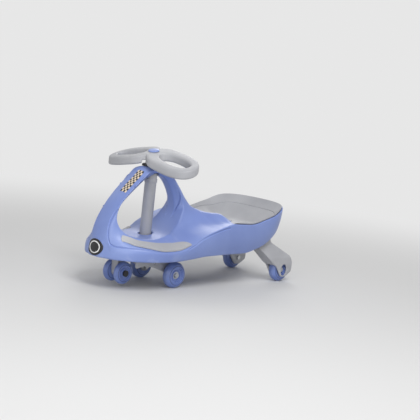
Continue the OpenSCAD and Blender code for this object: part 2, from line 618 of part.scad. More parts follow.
// A side web arches over the wheels and carries a front axle at its back end
web_line = rounded([
    [-axle_back - 20, arm_top - 1, 0], [-axle_back - 14, wheel_z - 14, 13], [-axle_back + 13, wheel_z - 14, 11],
    [-40, 43, 12], [0, 58, 30], [38, 65, 20], [twin_fore - 20, 58, 6], [twin_fore - 16, arm_top - 1, 0]]);
carrier_line = rounded([
    [twin_fore - 16, arm_top - 1, 0], [twin_fore - 13, twin_z - 13, 12], [twin_fore + 13, twin_z - 13, 12],
    [twin_fore + 16, arm_top - 1, 0]]);
pin_d = 10;
hub_low = arm_top - 28;
bolt_z = hub_low + 10;
bolt_d = 6;
module swing_arm() color(grey) difference() {
    union() {
        translate([0, 0, arm_top - arm_t]) linear_extrude(arm_t) polygon(arm_outline);
        translate([0, 0, hub_low]) cylinder(r = hub_r, h = arm_top - hub_low);
        for (s = sides) on(s) {
            plate(web_line, leg_in, leg_out);
            rod(-axle_back, wheel_z, axle_boss_d, leg_out - 1, axle_in(front_y) - face_gap);
        }
        plate(carrier_line, -carrier_half, carrier_half);
    }
    translate([0, 0, hub_low - 1]) cylinder(d = tube_d, h = 40);
    for (s = sides) on(s) rod(-axle_back, wheel_z, axle_d, leg_in - 1, front_y);
    rod(twin_fore, twin_z, pin_d, -twin_space, twin_space);
    rod(0, bolt_z, bolt_d, -60, 60);
}
module cross_bolt() color(steel) {
    rod(0, bolt_z, bolt_d, -hub_r - 1, hub_r + 5);
    hex_rod(0, bolt_z, 10, -hub_r - 5, -hub_r);
    difference() {
        hex_rod(0, bolt_z, 10, hub_r, hub_r + 5);
        rod(0, bolt_z, bolt_d, 0, 60);
    }
}
module thrust_washer() color(black) translate([0, 0, arm_top]) difference() {
    cylinder(r = boss_r, h = washer_t);
    translate([0, 0, -1]) cylinder(r = column_r + run_gap, h = washer_t + 2);
}

// Twin anti-tip wheels on one pin
twin_y = twin_space / 2;
twin_line = rounded([
    [pin_d / 2 + run_gap, -twin_w / 2, 0], [twin_d / 2 - 8, -twin_w / 2, 2],
    [twin_d / 2 - 1, -twin_w / 2 + 4, 5], [twin_d / 2, 0, 14], [twin_d / 2 - 1, twin_w / 2 - 4, 5],
    [twin_d / 2 - 8, twin_w / 2, 2],
    [twin_d / 2 - 11, twin_w / 2, 1], [twin_d / 2 - 12, twin_w / 2 - 4, 1], [14, twin_w / 2 - 4, 1],
    [13, twin_w / 2 - 1, 1], [pin_d / 2 + run_gap, twin_w / 2 - 1, 0]]);
module twin_wheel(side) color(blue) on(side) translate([twin_fore, twin_y, twin_z])
    rotate([-90, 0, 0]) rotate_extrude() polygon(twin_line);
twin_end = twin_y + twin_w / 2 + face_gap;
module twin_pin() color(steel) rod(twin_fore, twin_z, pin_d, -twin_end - 4, twin_end + 4);
module twin_clips() color(black) for (s = sides) on(s) difference() {
    rod(twin_fore, twin_z, pin_d + 8, twin_end, twin_end + 5);
    rod(twin_fore, twin_z, pin_d, 0, twin_end + 4);
}

// Column
tube_low = hub_low + 2;
tube_top = hub_z + hub_h - 10;
module steering_tube() color(steel) difference() {
    translate([0, 0, tube_low]) cylinder(d = tube_d, h = tube_top - tube_low);
    translate([0, 0, tube_low - 1]) cylinder(d = tube_d - 2 * tube_wall, h = tube_top - tube_low - 11);
    translate([0, 0, tube_low]) cylinder(d = bolt_d + 2, h = tube_top);
    rod(0, bolt_z, bolt_d, -60, 60);
}
module column_cover() color(grey) translate([0, 0, arm_top]) difference() {
    cylinder(d = column_d, h = hub_z - arm_top);
    translate([0, 0, -1]) cylinder(d = tube_d, h = hub_z);
}
module column_collar() color(grey) rotate_extrude()
    polygon([[column_r, flange_top + face_gap], [column_r + 4, flange_top + face_gap],
        [column_r + 3, hub_z], [column_r, hub_z]]);

// Steering wheel: two loops that droop to their ends, on a hub
path_out = grip_span / 2 - rim_w / 2;
path_in = 11;
loop_mid = (path_out + path_in) / 2;
loop_a = (path_out - path_in) / 2;
loop_b = (loop_len - rim_w) / 2;
loop_steps = 36;
rim_steps = 12;
rim_power = 2 / 3.2;
waist_share = 1.5;
waist_reach = 55;
function power_cos(a, p) = sign(cos(a)) * pow(abs(cos(a)), p);
function power_sin(a, p) = sign(sin(a)) * pow(abs(sin(a)), p);
function loop_xy(a) = [loop_b * power_cos(a, 0.86), loop_mid + loop_a * power_sin(a, 0.86)];
function grip_z(q) = cap_z - rim_h / 2 - 1 - (q[1] - path_in) * tan(loop_droop) - q[0] * tan(loop_tilt);
function loop_ring(k) =
    let (a = 360 * k / loop_steps, q = loop_xy(a), d = unit(loop_xy(a + 4) - loop_xy(a - 4)), n = [d[1], -d[0]])
    [for (j = [0 : rim_steps - 1])
        let (b = 360 * j / rim_steps, broad = mix(waist_share, 1, smooth((q[1] - path_in) / waist_reach)))
        let (w = broad * rim_w / 2 * power_cos(b, rim_power), h = rim_h / 2 * power_sin(b, rim_power))
        [q[0] + n[0] * w, q[1] + n[1] * w, grip_z(q) + h]];
module grip_loop() ring_skin([for (k = [0 : loop_steps - 1]) loop_ring(k)]);
hub_rings = [[0, 20, 20], [6, 20, 21], [14, 21, 24], [hub_h - 2, 21, 25], [hub_h, 18, 22]];
module grip_hub() skin([for (r = hub_rings) [for (k = [0 : 35])
    let (x = r[1] * cos(10 * k), y = r[2] * sin(10 * k))
    let (fall = x * tan(loop_tilt) + max(0, abs(y) - path_in) * tan(loop_droop))
    [x, y, hub_z + r[0] - fall * r[0] / hub_h]]]);
module steering_wheel() color(grey) difference() {
    moulded([0, grip_span, 0]) union() {
        for (s = sides) on(s) grip_loop();
        grip_hub();
    }
    translate([0, 0, hub_z - 20]) cylinder(r = column_r + 8, h = 20);
    translate([0, 0, hub_z - 1]) cylinder(d = tube_d, h = tube_top - hub_z + 1);
    translate([0, 0, tube_top - 1]) cylinder(d = bolt_d + 2, h = hub_h);
    translate([0, 0, cap_z - 6]) cylinder(d = 18, h = hub_h);
}
module wheel_bolt() color(steel) {
    translate([0, 0, tube_top - 10]) cylinder(d = bolt_d + 2, h = 10 + cap_z - 6 - tube_top);
    translate([0, 0, cap_z - 6]) cylinder(d = 13 / cos(30), h = 4, $fn = 6);
}
cap_a = 13;
cap_b = 19;
cap_t = 3;
module steering_cap() color(blue) translate([0, 0, cap_z]) rotate([0, loop_tilt, 0])
    linear_extrude(cap_t) polygon(ellipse(cap_a, cap_b, 48));

wheel_names = ["front_left", "front_right", "rear_left", "rear_right"];
wheel_x = [-axle_back, -axle_back, -rear_back, -rear_back];
wheel_y = [front_y, front_y, rear_y, rear_y];
wheel_side = ["left", "right", "left", "right"];
wheel_head = [leg_in, leg_in, bracket_in - bracket_wall - 3, bracket_in - bracket_wall - 3];

node = "all";
NODES = concat(
    ["body_shell", "seat_pan", "seat_screws", "foot_pad_left", "foot_pad_right", "nose_badge",
    "head_bush", "floor_bush", "rear_bracket_left", "rear_bracket_right", "bracket_screws", "swing_arm",
    "cross_bolt", "thrust_washer", "steering_tube", "column_cover", "column_collar", "steering_wheel", "wheel_bolt", "steering_cap",
    "twin_wheel_left", "twin_wheel_right", "twin_pin", "twin_clips"],
    [for (w = wheel_names) each [str(w, "_tyre"), str(w, "_hub"), str(w, "_light_ring"), str(w, "_bearings"),
    str(w, "_magnet_sleeve"), str(w, "_axle_bolt"), str(w, "_axle_nut")]]);

module place() translate([steer_x, 0, 0]) children();
function shows(name) = node == "all" || node == name;
if (shows("body_shell")) place() body_shell();
if (shows("seat_pan")) place() seat_pan();
if (shows("seat_screws")) place() seat_screws();
for (s = sides) {
    if (shows(str("foot_pad_", s))) place() foot_pad(s);
    if (shows(str("rear_bracket_", s))) place() rear_bracket(s);
    if (shows(str("twin_wheel_", s))) place() twin_wheel(s);
}
if (shows("nose_badge")) place() nose_badge();
if (shows("head_bush")) place() head_bush();
if (shows("floor_bush")) place() floor_bush();
if (shows("bracket_screws")) place() bracket_screws();
if (shows("swing_arm")) place() swing_arm();
if (shows("cross_bolt")) place() cross_bolt();
if (shows("thrust_washer")) place() thrust_washer();
if (shows("steering_tube")) place() steering_tube();
if (shows("column_cover")) place() column_cover();
if (shows("column_collar")) place() column_collar();
if (shows("steering_wheel")) place() steering_wheel();
if (shows("wheel_bolt")) place() wheel_bolt();
if (shows("steering_cap")) place() steering_cap();
if (shows("twin_pin")) place() twin_pin();
if (shows("twin_clips")) place() twin_clips();
for (k = [0 : 3]) {
    name = wheel_names[k];
    side = wheel_side[k];
    x = wheel_x[k];
    y = wheel_y[k];
    if (shows(str(name, "_tyre"))) place() on(side) tyre(x, y);
    if (shows(str(name, "_hub"))) place() on(side) hub_core(x, y);
    if (shows(str(name, "_light_ring"))) place() on(side) light_ring(x, y);
    if (shows(str(name, "_bearings"))) place() on(side) bearings(x, y);
    if (shows(str(name, "_magnet_sleeve"))) place() on(side) magnet_sleeve(x, y);
    if (shows(str(name, "_axle_bolt"))) place() on(side) axle_bolt(x, y, wheel_head[k]);
    if (shows(str(name, "_axle_nut"))) place() on(side) axle_nut(x, y);
}
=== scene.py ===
# %% [markdown]
# # A wiggle car, dressed for a studio picture
# The solids of the car are already made and packed, and they carry the motion. This lesson gives
# them their looks. It loads the imported car as a fixed frame, sets up the camera, mixes the finishes, and
# then makes finer skins for the moulded pieces, from nearly the same curves that the solids use.

# %% Load the frame
import json
import math
import bpy
import bmesh
import numpy as np
from mathutils import Matrix, Vector, kdtree


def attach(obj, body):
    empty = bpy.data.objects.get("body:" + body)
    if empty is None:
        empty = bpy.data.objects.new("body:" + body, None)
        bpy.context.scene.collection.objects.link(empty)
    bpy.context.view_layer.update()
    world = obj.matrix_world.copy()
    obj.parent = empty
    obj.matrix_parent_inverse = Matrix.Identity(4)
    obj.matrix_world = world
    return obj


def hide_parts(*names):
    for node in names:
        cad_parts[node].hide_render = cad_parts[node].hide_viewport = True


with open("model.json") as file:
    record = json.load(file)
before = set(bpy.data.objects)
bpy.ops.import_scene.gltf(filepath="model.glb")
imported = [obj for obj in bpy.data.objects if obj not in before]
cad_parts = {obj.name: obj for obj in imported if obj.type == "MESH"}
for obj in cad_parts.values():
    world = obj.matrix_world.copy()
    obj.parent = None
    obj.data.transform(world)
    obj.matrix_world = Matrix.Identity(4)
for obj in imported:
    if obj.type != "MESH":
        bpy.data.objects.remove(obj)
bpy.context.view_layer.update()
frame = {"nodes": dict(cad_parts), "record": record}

# %% [markdown]
# ## Units
# The shapes are drawn in millimetres with the steering axis at x = 0, because that is how the maker of the
# car would set them out. Blender works in metres, so each point is moved and scaled once, at the end.

# %% Millimetres on the drawing to metres in the frame
STEER_X = 172.3


def to_frame(points):
    """Drawing points in millimetres become frame points in metres."""
    return (np.asarray(points, float) + (STEER_X, 0.0, 0.0)) / 1000.0


print("steering axis at x =", STEER_X / 1000.0, "m")

# %% [markdown]
# ## Camera
# The picture shows the car from its front left corner, from a little above, and slightly rolled. The roll is
# part of the view, so the camera is turned about its own axis instead of tilting the car. The lens is long,
# which keeps the perspective as weak as in the picture.

# %% Camera at the picture's angle
VIEW_TURN = math.radians(46.16)
VIEW_RISE = math.radians(7.53)
VIEW_ROLL = math.radians(6.47)
VIEW_REACH = 3.2005
FOCAL_PIXELS = 1079.9
PICTURE_PIXELS = 420
SENSOR = 36.0
CAR_MIDDLE = (-104.0, 0.0, 187.0)
SHIFT_RIGHT, SHIFT_UP = 0.1071, 0.0410

back = Vector((math.sin(VIEW_TURN) * math.cos(VIEW_RISE), math.cos(VIEW_TURN) * math.cos(VIEW_RISE),
               math.sin(VIEW_RISE)))
level = Vector((-math.cos(VIEW_TURN), math.sin(VIEW_TURN), 0.0))
upright = back.cross(level)
aim = Vector(to_frame(CAR_MIDDLE)) + level * SHIFT_RIGHT + upright * SHIFT_UP
right = level * math.cos(VIEW_ROLL) + upright * math.sin(VIEW_ROLL)
up = upright * math.cos(VIEW_ROLL) - level * math.sin(VIEW_ROLL)
camera = bpy.data.objects.new("camera", bpy.data.cameras.new("camera"))
bpy.context.scene.collection.objects.link(camera)
turned = Matrix((right, up, back)).transposed().to_4x4()
camera.matrix_world = Matrix.Translation(aim + back * VIEW_REACH) @ turned
camera.data.sensor_width = SENSOR
camera.data.lens = SENSOR * FOCAL_PIXELS / PICTURE_PIXELS
camera.data.clip_start = 0.05
camera.data.clip_end = 60.0
bpy.context.scene.camera = camera
bpy.context.scene.view_settings.view_transform = "Standard"
print("lens", round(camera.data.lens, 1), "mm, camera at", [round(v, 3) for v in camera.location])

# %% [markdown]
# ## Writing finishes as sums
# A finish is a small network of nodes. Wiring many Math nodes by hand hides what they add up to, so one
# class wraps a socket: Python's own operators add the Math nodes, and one method adds any other node.

# %% A wire that can be added up


class Wire:
    """One socket of a node tree."""

    def __init__(self, tree, socket=None):
        self.tree = tree
        self.socket = socket

    def node(self, kind, settings=None, inputs=None, output=0):
        """Adds a node: its settings first, then the values or wires of its sockets."""
        made = self.tree.nodes.new(kind)
        for name, value in (settings or {}).items():
            setattr(made, name, value)
        for key, value in (inputs or {}).items():
            if isinstance(value, Wire):
                self.tree.links.new(value.socket, made.inputs[key])
            else:
                made.inputs[key].default_value = value
        return Wire(self.tree, made.outputs[output])

    def sum(self, operation, first, second):
        """Adds one Math node."""
        return self.node("ShaderNodeMath", {"operation": operation}, {0: first, 1: second})

    def __add__(self, other):
        return self.sum("ADD", self, other)

    def __sub__(self, other):
        return self.sum("SUBTRACT", self, other)

    def __rsub__(self, other):
        return self.sum("SUBTRACT", other, self)

    def __mul__(self, other):
        return self.sum("MULTIPLY", self, other)

    __radd__ = __add__
    __rmul__ = __mul__

    def between(self, low, high):
        """0 below low, 1 above high, and a soft step in between."""
        return self.node("ShaderNodeMapRange", {"interpolation_type": "SMOOTHSTEP"},
                         {"Value": self, "From Min": low, "From Max": high})

    def tint(self, first, second):
        """Mixes two colours, with this wire as the share of the second."""
        return self.node("ShaderNodeMix", {"data_type": "RGBA"}, {0: self, 6: first, 7: second}, 2)

    def surface_place(self):
        """Where a point of the surface lies, in metres."""
        return self.node("ShaderNodeTexCoord", output=3)

    def noise(self, scale, detail):
        """Noise at the place that this wire gives."""
        return self.node("ShaderNodeTexNoise", None, {"Vector": self, "Scale": scale, "Detail": detail})

    def times(self, shares):
        """A vector with each of its parts multiplied by its own share."""
        return self.node("ShaderNodeVectorMath", {"operation": "MULTIPLY"}, {0: self, 1: shares})

    def length(self):
        """The length of a vector."""
        return self.node("ShaderNodeVectorMath", {"operation": "LENGTH"}, {0: self}, 1)


print("wires ready")

# %% [markdown]
# ## Colours
# The car has three flat colours: a soft violet blue, a mid grey and black. Screen colours are stored with a
# curve, and a shader takes linear light. The linear numbers could be typed in, but they are hard to picture,
# so one short function turns each screen colour over.

# %% Screen colours as linear light


def linear(red, green, blue):
    """A screen colour of 0 to 255 as linear light."""
    curve = [c / 255.0 for c in (red, green, blue)]
    return tuple(c / 12.92 if c <= 0.04045 else ((c + 0.055) / 1.055) ** 2.4 for c in curve) + (1.0,)


BLUE = linear(128, 147, 203)
BLUE_DEEP = linear(116, 135, 194)
GREY = linear(176, 177, 181)
GREY_DEEP = linear(160, 161, 166)
BLACK = linear(30, 30, 33)
BLACK_WORN = linear(48, 48, 51)
BLUE_RUBBED, GREY_RUBBED, BLACK_RUBBED = linear(158, 172, 214), linear(196, 196, 198), linear(70, 70, 72)
print("blue in linear light:", [round(c, 3) for c in BLUE])

# %% [markdown]
# ## Moulded plastic
# Injection moulded plastic is never one flat colour. The pigment drifts slowly across a panel, the tool
# leaves a very fine grain, and the places that shoes and hands rub are a little paler and glossier. Each
# plastic here is built from the same three layers with its own numbers. Pictures of plastic could be laid on
# as images, but each skin would first have to be unrolled flat. Noise that is worked out from a point's own
# place needs no unrolling. The grain goes through a Bump node, so that it catches the light without changing
# the mesh.

# %% A finish with one shader


def start_finish(name):
    """A new material with one Principled shader, and the wire that its nodes start from."""
    material = bpy.data.materials.new(name)
    material.use_nodes = True
    tree = material.node_tree
    tree.nodes.clear()
    shader = tree.nodes.new("ShaderNodeBsdfPrincipled")
    output = tree.nodes.new("ShaderNodeOutputMaterial")
    tree.links.new(shader.outputs[0], output.inputs["Surface"])
    return material, Wire(tree), shader


def feed(wire, shader, socket):
    """Links a wire to one socket of a shader."""
    wire.tree.links.new(wire.socket, shader.inputs[socket])


print("finishes can be started and fed")

# %% One recipe for every plastic
DRIFT_SCALE, SCUFF_SCALE, RUB_FADE, RUB_SHARE = 7.0, 38.0, 0.75, 0.35
GRAIN_STRENGTH, PLASTIC_IOR = 0.35, 1.49


def moulded_plastic(name, colour, deep, rough, grain_size, grain_depth, rub_height, rub_colour):
    """Plastic with drifting pigment, tool grain and a rubbed lower edge. Sizes are in metres."""
    material, start, shader = start_finish(name)
    place = start.surface_place()
    drift = place.noise(DRIFT_SCALE, 3.0)
    cells = start.node("ShaderNodeTexVoronoi", {"feature": "SMOOTH_F1"},
                       {"Vector": place, "Scale": 1.0 / grain_size, "Smoothness": 0.6})
    fine = place.noise(0.6 / grain_size, 2.0)
    height = start.node("ShaderNodeSeparateXYZ", None, {0: place}, 2)
    scuffs = place.noise(SCUFF_SCALE, 6.0)
    rub = (1.0 - height.between(rub_height * RUB_FADE, rub_height)) * scuffs.between(0.52, 0.68)
    pigment = drift.between(0.3, 0.7).tint(deep, colour)
    feed((rub * RUB_SHARE).tint(pigment, rub_colour), shader, "Base Color")
    feed((fine - 0.5) * 0.14 + (drift - 0.5) * 0.1 + rough + rub * 0.1, shader, "Roughness")
    relief = cells * 0.7 + fine * 0.5
    bump = start.node("ShaderNodeBump", None,
                      {"Strength": GRAIN_STRENGTH, "Distance": grain_depth, "Height": relief})
    feed(bump, shader, "Normal")
    shader.inputs["IOR"].default_value = PLASTIC_IOR
    return material


print("pigment drifts over about", round(1 / DRIFT_SCALE, 2), "m")

# %% The plastics of the car
blue_plastic = moulded_plastic("blue_plastic", BLUE, BLUE_DEEP, 0.34, 0.0011, 0.00010, 0.125, BLUE_RUBBED)
grey_plastic = moulded_plastic("grey_plastic", GREY, GREY_DEEP, 0.46, 0.0016, 0.00022, 0.075, GREY_RUBBED)
black_plastic = moulded_plastic(
    "black_plastic", BLACK, BLACK_WORN, 0.40, 0.0010, 0.00010, 0.060, BLACK_RUBBED)
seat_finish = moulded_plastic("seat_grey", GREY, GREY_DEEP, 0.48, 0.0018, 0.00025, 0.075, GREY_RUBBED)
pad_finish = moulded_plastic(
    "pad_grey", GREY, GREY_DEEP, 0.55, 0.0024, 0.00045, 0.150, linear(190, 190, 193))
grip_finish = moulded_plastic("grip_grey", GREY, GREY_DEEP, 0.42, 0.0012, 0.00015, 0.075, GREY_RUBBED)
hub_finish = moulded_plastic(
    "hub_blue", linear(122, 141, 199), BLUE_DEEP, 0.32, 0.0010, 0.00008, 0.020, BLUE_RUBBED)
print("plastics:", blue_plastic.name, grey_plastic.name, black_plastic.name)

# %% [markdown]
# ## Cast wheels
# The tyres are cast from a rubbery plastic: smoother than the body, with a dull band where the tread has
# rolled, and painted shade in the ring that is cut into their faces. A painted map could show both, but it
# would have to be fitted to each wheel. Here they are found from the distance to the wheel's axle.

# %% Cast plastic with a worn tread
TREAD_START, TREAD_FULL = 0.0030, 0.0004
SEAM_HALF, SEAM_FADE = 0.0006, 0.0013
TYRE_DEEP, TYRE_BLUE = linear(104, 124, 186), linear(120, 140, 198)
# The dark colour of the ring and its share are painted shade for the groove cut into the wheel's face.
TYRE_DUST, TYRE_GROOVE_SHADE = linear(150, 156, 176), linear(52, 62, 104)
GRIT_SCALE, GRIT_DEPTH, DUST_SHARE, GROOVE_SHADE_SHARE, RUBBER_IOR = 420.0, 0.00012, 0.30, 0.75, 1.5


def cast_tyre(name, axle, radius, seam):
    """Cast plastic, dull on the tread and glossy on the sides, with painted shade in the ring at the seam's
    radius.
    """
    material, start, shader = start_finish(name)
    place = start.surface_place()
    from_axle = start.node("ShaderNodeVectorMath", {"operation": "SUBTRACT"}, {0: place, 1: axle})
    reach = from_axle.times((1.0, 0.0, 1.0)).length()
    drift = place.noise(30.0, 4.0)
    grit = place.noise(GRIT_SCALE, 3.0)
    tread = reach.between(radius - TREAD_START, radius - TREAD_FULL)
    past_seam = reach.between(seam + SEAM_HALF, seam + SEAM_FADE)
    # A band at the ring's radius that marks where the painted shade of the groove goes.
    line = reach.between(seam - SEAM_FADE, seam - SEAM_HALF) * (1.0 - past_seam)
    dust = tread * grit.between(0.42, 0.62)
    pigment = drift.between(0.3, 0.7).tint(TYRE_DEEP, TYRE_BLUE)
    dusty = (dust * DUST_SHARE).tint(pigment, TYRE_DUST)
    # The ring in the face is darkened here with painted shade.
    feed((line * GROOVE_SHADE_SHARE).tint(dusty, TYRE_GROOVE_SHADE), shader, "Base Color")
    feed(tread * 0.22 + (drift - 0.5) * 0.10 + 0.30, shader, "Roughness")
    feed(start.node("ShaderNodeBump", None, {"Strength": 0.3, "Distance": GRIT_DEPTH, "Height": grit}),
         shader, "Normal")
    shader.inputs["IOR"].default_value = RUBBER_IOR
    return material


print("tread fades in over", round(TREAD_START - TREAD_FULL, 4), "m")

# %% [markdown]
# ## Steel, stickers and lamp plastic
# Bolts are brushed steel, the stickers are thin vinyl, and the ring in each wheel is a milky clear plastic.
# All three are even at arm's length and only flecked close by, so one recipe makes them: fine noise mixes
# two near colours and varies the gloss. Steel stretches that noise into brush marks.

# %% One recipe for flecked finishes


def flecked(name, first, second, scale, detail, rough, spread, metal=0.0, stretch=(1.0, 1.0, 1.0)):
    """A finish of two near colours in fine flecks; the gloss varies with them."""
    material, start, shader = start_finish(name)
    flecks = start.surface_place().times(stretch).noise(scale, detail)
    feed(flecks.tint(linear(*first), linear(*second)), shader, "Base Color")
    feed(flecks * spread + rough, shader, "Roughness")
    shader.inputs["Metallic"].default_value = metal
    return material


steel = flecked("steel", (176, 179, 184), (196, 199, 204), 900.0, 3.0, 0.22, 0.22, 1.0, (1.0, 0.12, 1.0))
sticker_black = flecked("sticker_black", (22, 22, 24), (36, 36, 38), 260.0, 3.0, 0.28, 0.2)
sticker_pale = flecked("sticker_pale", (214, 196, 172), (222, 206, 184), 260.0, 3.0, 0.28, 0.2)
sticker_white = flecked("sticker_white", (226, 226, 226), (238, 238, 238), 260.0, 3.0, 0.28, 0.2)
clear_plastic = flecked("clear_plastic", (214, 222, 236), (228, 234, 244), 150.0, 2.0, 0.12, 0.2)
print("flecked finishes:", steel.name, sticker_black.name, sticker_pale.name, clear_plastic.name)

# %% [markdown]
# ## The body's curves
# The body is one moulded shell: a nose, foot wells, an arch with a window for the column, and a bucket seat.
# It could be pushed into shape by hand, but then it would only roughly fit the pieces that sit on it. So its
# form is a handful of curves along the car, such as the height of the edge, the fall of the seat and the
# width of the arch. The solids are made from nearly the same curves, so the skins lie on them.

# %% Sizes and blends
NOSE, TAIL, BODY_WIDE, WELL_WIDE = 186.0, 484.0, 304.0, 284.0
HEAD_Z, FLOOR_Z, WELL_Z, SKIRT_Z, SEAT_Z, RIM_Z, TAIL_Z = 346.0, 148.0, 118.0, 91.0, 170.0, 191.0, 248.0
HEAD_HALF, WINDOW_HALF, WINDOW_FLARE = 37.0, 13.0, 22.0
TAIL_ROUND = 120.0
TAIL_MID = TAIL_ROUND - TAIL
NOSE_POWER, TAIL_POWER, OVER_ROUND = 2.0, 2.8, 1.004


def fore(share):
    """A place ahead of the column, as a share of the way to the nose."""
    return NOSE * share


def aft(share):
    """A place behind the column, as a share of the way to the tail."""
    return -TAIL * share


def mix(first, second, share):
    """A value between two others, at a share of the way to the second."""
    return first + (second - first) * share


def smooth(share):
    """A soft step: 0 below 0, 1 above 1."""
    held = np.clip(share, 0.0, 1.0)
    return held * held * (3.0 - 2.0 * held)


print("body of", NOSE + TAIL, "by", BODY_WIDE, "mm")

# %% A curve through a few points


def along(points, x):
    """A smooth curve through a few points that never overshoots them."""
    px, py = np.array(points, float).T
    gaps = np.diff(px)
    secants = np.diff(py) / gaps
    lean = np.zeros(len(px))
    lean[0], lean[-1] = secants[0], secants[-1]
    before, after = secants[:-1], secants[1:]
    same = before * after > 0
    lean[1:-1][same] = 2 * before[same] * after[same] / (before[same] + after[same])
    i = np.clip(np.searchsorted(px, x) - 1, 0, len(px) - 2)
    h = gaps[i]
    t = np.clip((x - px[i]) / h, 0, 1)
    ends = py[i] * (1 + 2 * t) * (1 - t) ** 2 + py[i + 1] * t * t * (3 - 2 * t)
    return ends + h * (lean[i] * t * (1 - t) ** 2 - lean[i + 1] * t * t * (1 - t))


print("halfway along a slope from 0 to 4:", float(along([[0, 0], [10, 4]], 5.0)))

# %% Curves along the car
EDGE = [
    [aft(1), TAIL_Z], [aft(0.92), TAIL_Z - 6], [aft(0.78), RIM_Z + 26], [aft(0.57), RIM_Z + 2],
    [aft(0.4), RIM_Z - 2], [aft(0.297), mix(WELL_Z, RIM_Z, 0.82)], [aft(0.194), mix(WELL_Z, RIM_Z, 0.56)],
    [aft(0.132), mix(WELL_Z, RIM_Z, 0.31)], [aft(0.089), mix(WELL_Z, RIM_Z, 0.17)], [aft(0.02), WELL_Z + 3],
    [fore(0.2), WELL_Z + 1], [fore(0.4), WELL_Z + 3], [fore(0.7), WELL_Z + 11], [fore(0.87), WELL_Z + 16],
    [fore(0.95), WELL_Z + 17], [NOSE, WELL_Z + 15]]
LOW = [
    [aft(1), TAIL_Z - 26], [aft(0.92), SEAT_Z + 2], [aft(0.8), SKIRT_Z + 38], [aft(0.72), SKIRT_Z + 23],
    [aft(0.6), SKIRT_Z + 11], [aft(0.28), SKIRT_Z + 10], [aft(0.14), SKIRT_Z + 4], [0, SKIRT_Z],
    [NOSE, SKIRT_Z]]
TUCK = [[aft(1), 6], [aft(0.8), 22], [aft(0.5), 23], [aft(0.2), 14], [0, 7], [NOSE, 4]]
CROWN = [
    [aft(1), SEAT_Z - TAIL_Z + 30], [aft(0.92), SEAT_Z - TAIL_Z + 30], [aft(0.84), SEAT_Z - TAIL_Z + 22],
    [aft(0.74), SEAT_Z - RIM_Z - 14], [aft(0.57), SEAT_Z - RIM_Z - 2], [aft(0.39), -8], [aft(0.29), 0],
    [aft(0.185), 10], [aft(0.09), 20], [0, FLOOR_Z - WELL_Z - 4], [fore(0.3), FLOOR_Z - WELL_Z - 4],
    [fore(0.7), 20], [NOSE, 4]]
BOWL = [[aft(1), 3.6], [aft(0.57), 4], [aft(0.39), 3], [aft(0.185), 2], [NOSE, 2]]
CREST = [
    [aft(1), SEAT_Z - 20], [aft(0.7), SEAT_Z - 3], [aft(0.645), SEAT_Z], [aft(0.6), SEAT_Z + 13],
    [aft(0.55), SEAT_Z + 19], [aft(0.48), SEAT_Z + 30], [aft(0.35), SEAT_Z + 55], [aft(0.3), SEAT_Z + 66],
    [aft(0.25), HEAD_Z - 84], [aft(0.2), HEAD_Z - 52], [aft(0.135), HEAD_Z - 20], [aft(0.066), HEAD_Z],
    [fore(0.13), HEAD_Z], [fore(0.38), HEAD_Z - 36], [fore(0.69), HEAD_Z - 94], [fore(0.88), HEAD_Z - 150],
    [NOSE, WELL_Z + 30]]
FIN = [
    [aft(1), 30], [aft(0.62), 30], [aft(0.58), 58], [aft(0.52), 86], [aft(0.46), 82], [aft(0.4), 48],
    [aft(0.35), 25], [aft(0.25), 17], [aft(0.2), 17], [aft(0.1), 27], [aft(0.066), HEAD_HALF - 1],
    [fore(0.18), HEAD_HALF], [fore(0.38), HEAD_HALF], [fore(0.69), 31], [fore(0.86), 30], [NOSE, 24]]
SOFT = [
    [aft(1), 40], [aft(0.5), 52], [aft(0.4), 56], [aft(0.3), 38], [aft(0.2), 23], [aft(0.1), 15],
    [0, 13], [fore(0.7), 16], [NOSE, 16]]
FLANK_POWER, CREST_ROUND, FIN_SHARE, SOFT_SHARE = 2.6, 0.03, 0.5, 0.4
print("edge height beside the rider:", float(along(EDGE, -200.0)))

# %% [markdown]
# ## The deck
# Seen from above, the edge of the body is a rounded nose, nearly straight sides and a rounder tail. The deck
# rises or falls from that edge to its middle, and the arch stands on it like a fin with soft flanks. In front
# of the seat the deck swells a little under each thigh. A sculpted mesh could have the same form, but a
# height that can be asked for at any place is what the seat, the pads and the ribs need to lie on it.

# %% Heights of the deck and the arch
THIGH_X, THIGH_Y, THIGH_LONG, THIGH_WIDE, THIGH_RISE = -214.0, 84.0, 34.0, 32.0, 10.0


def half_width(x):
    """Half of the body's width at x, seen from above."""
    nose = WELL_WIDE / 2 * np.maximum(0, 1 - (np.maximum(x, 0) / (NOSE * OVER_ROUND)) ** NOSE_POWER)
    nose = nose ** (1 / NOSE_POWER) * (WELL_WIDE / 2) ** (1 - 1 / NOSE_POWER)
    tail = np.maximum(TAIL_MID - x, 0) / (TAIL_ROUND * OVER_ROUND)
    tail = BODY_WIDE / 2 * np.maximum(0, 1 - tail ** TAIL_POWER) ** (1 / TAIL_POWER)
    middle = mix(WELL_WIDE, BODY_WIDE, smooth(x / aft(0.39))) / 2
    return np.where(x >= 0, nose, np.where(x >= TAIL_MID, middle, tail))


def edge_share(x, y):
    """0 in the middle of the deck and 1 at its edge."""
    tail = np.maximum(TAIL_MID - x, 0) / (TAIL_ROUND * OVER_ROUND)
    rounded = ((np.abs(y) / (BODY_WIDE / 2)) ** TAIL_POWER + tail ** TAIL_POWER) ** (1 / TAIL_POWER)
    straight = np.abs(y) / np.maximum(half_width(x), 0.001)
    return np.minimum(1, np.where(x >= TAIL_MID, straight, rounded))


def deck_z(x, y):
    """Height of the deck without the arch."""
    return along(EDGE, x) + along(CROWN, x) * (1 - edge_share(x, y) ** along(BOWL, x))


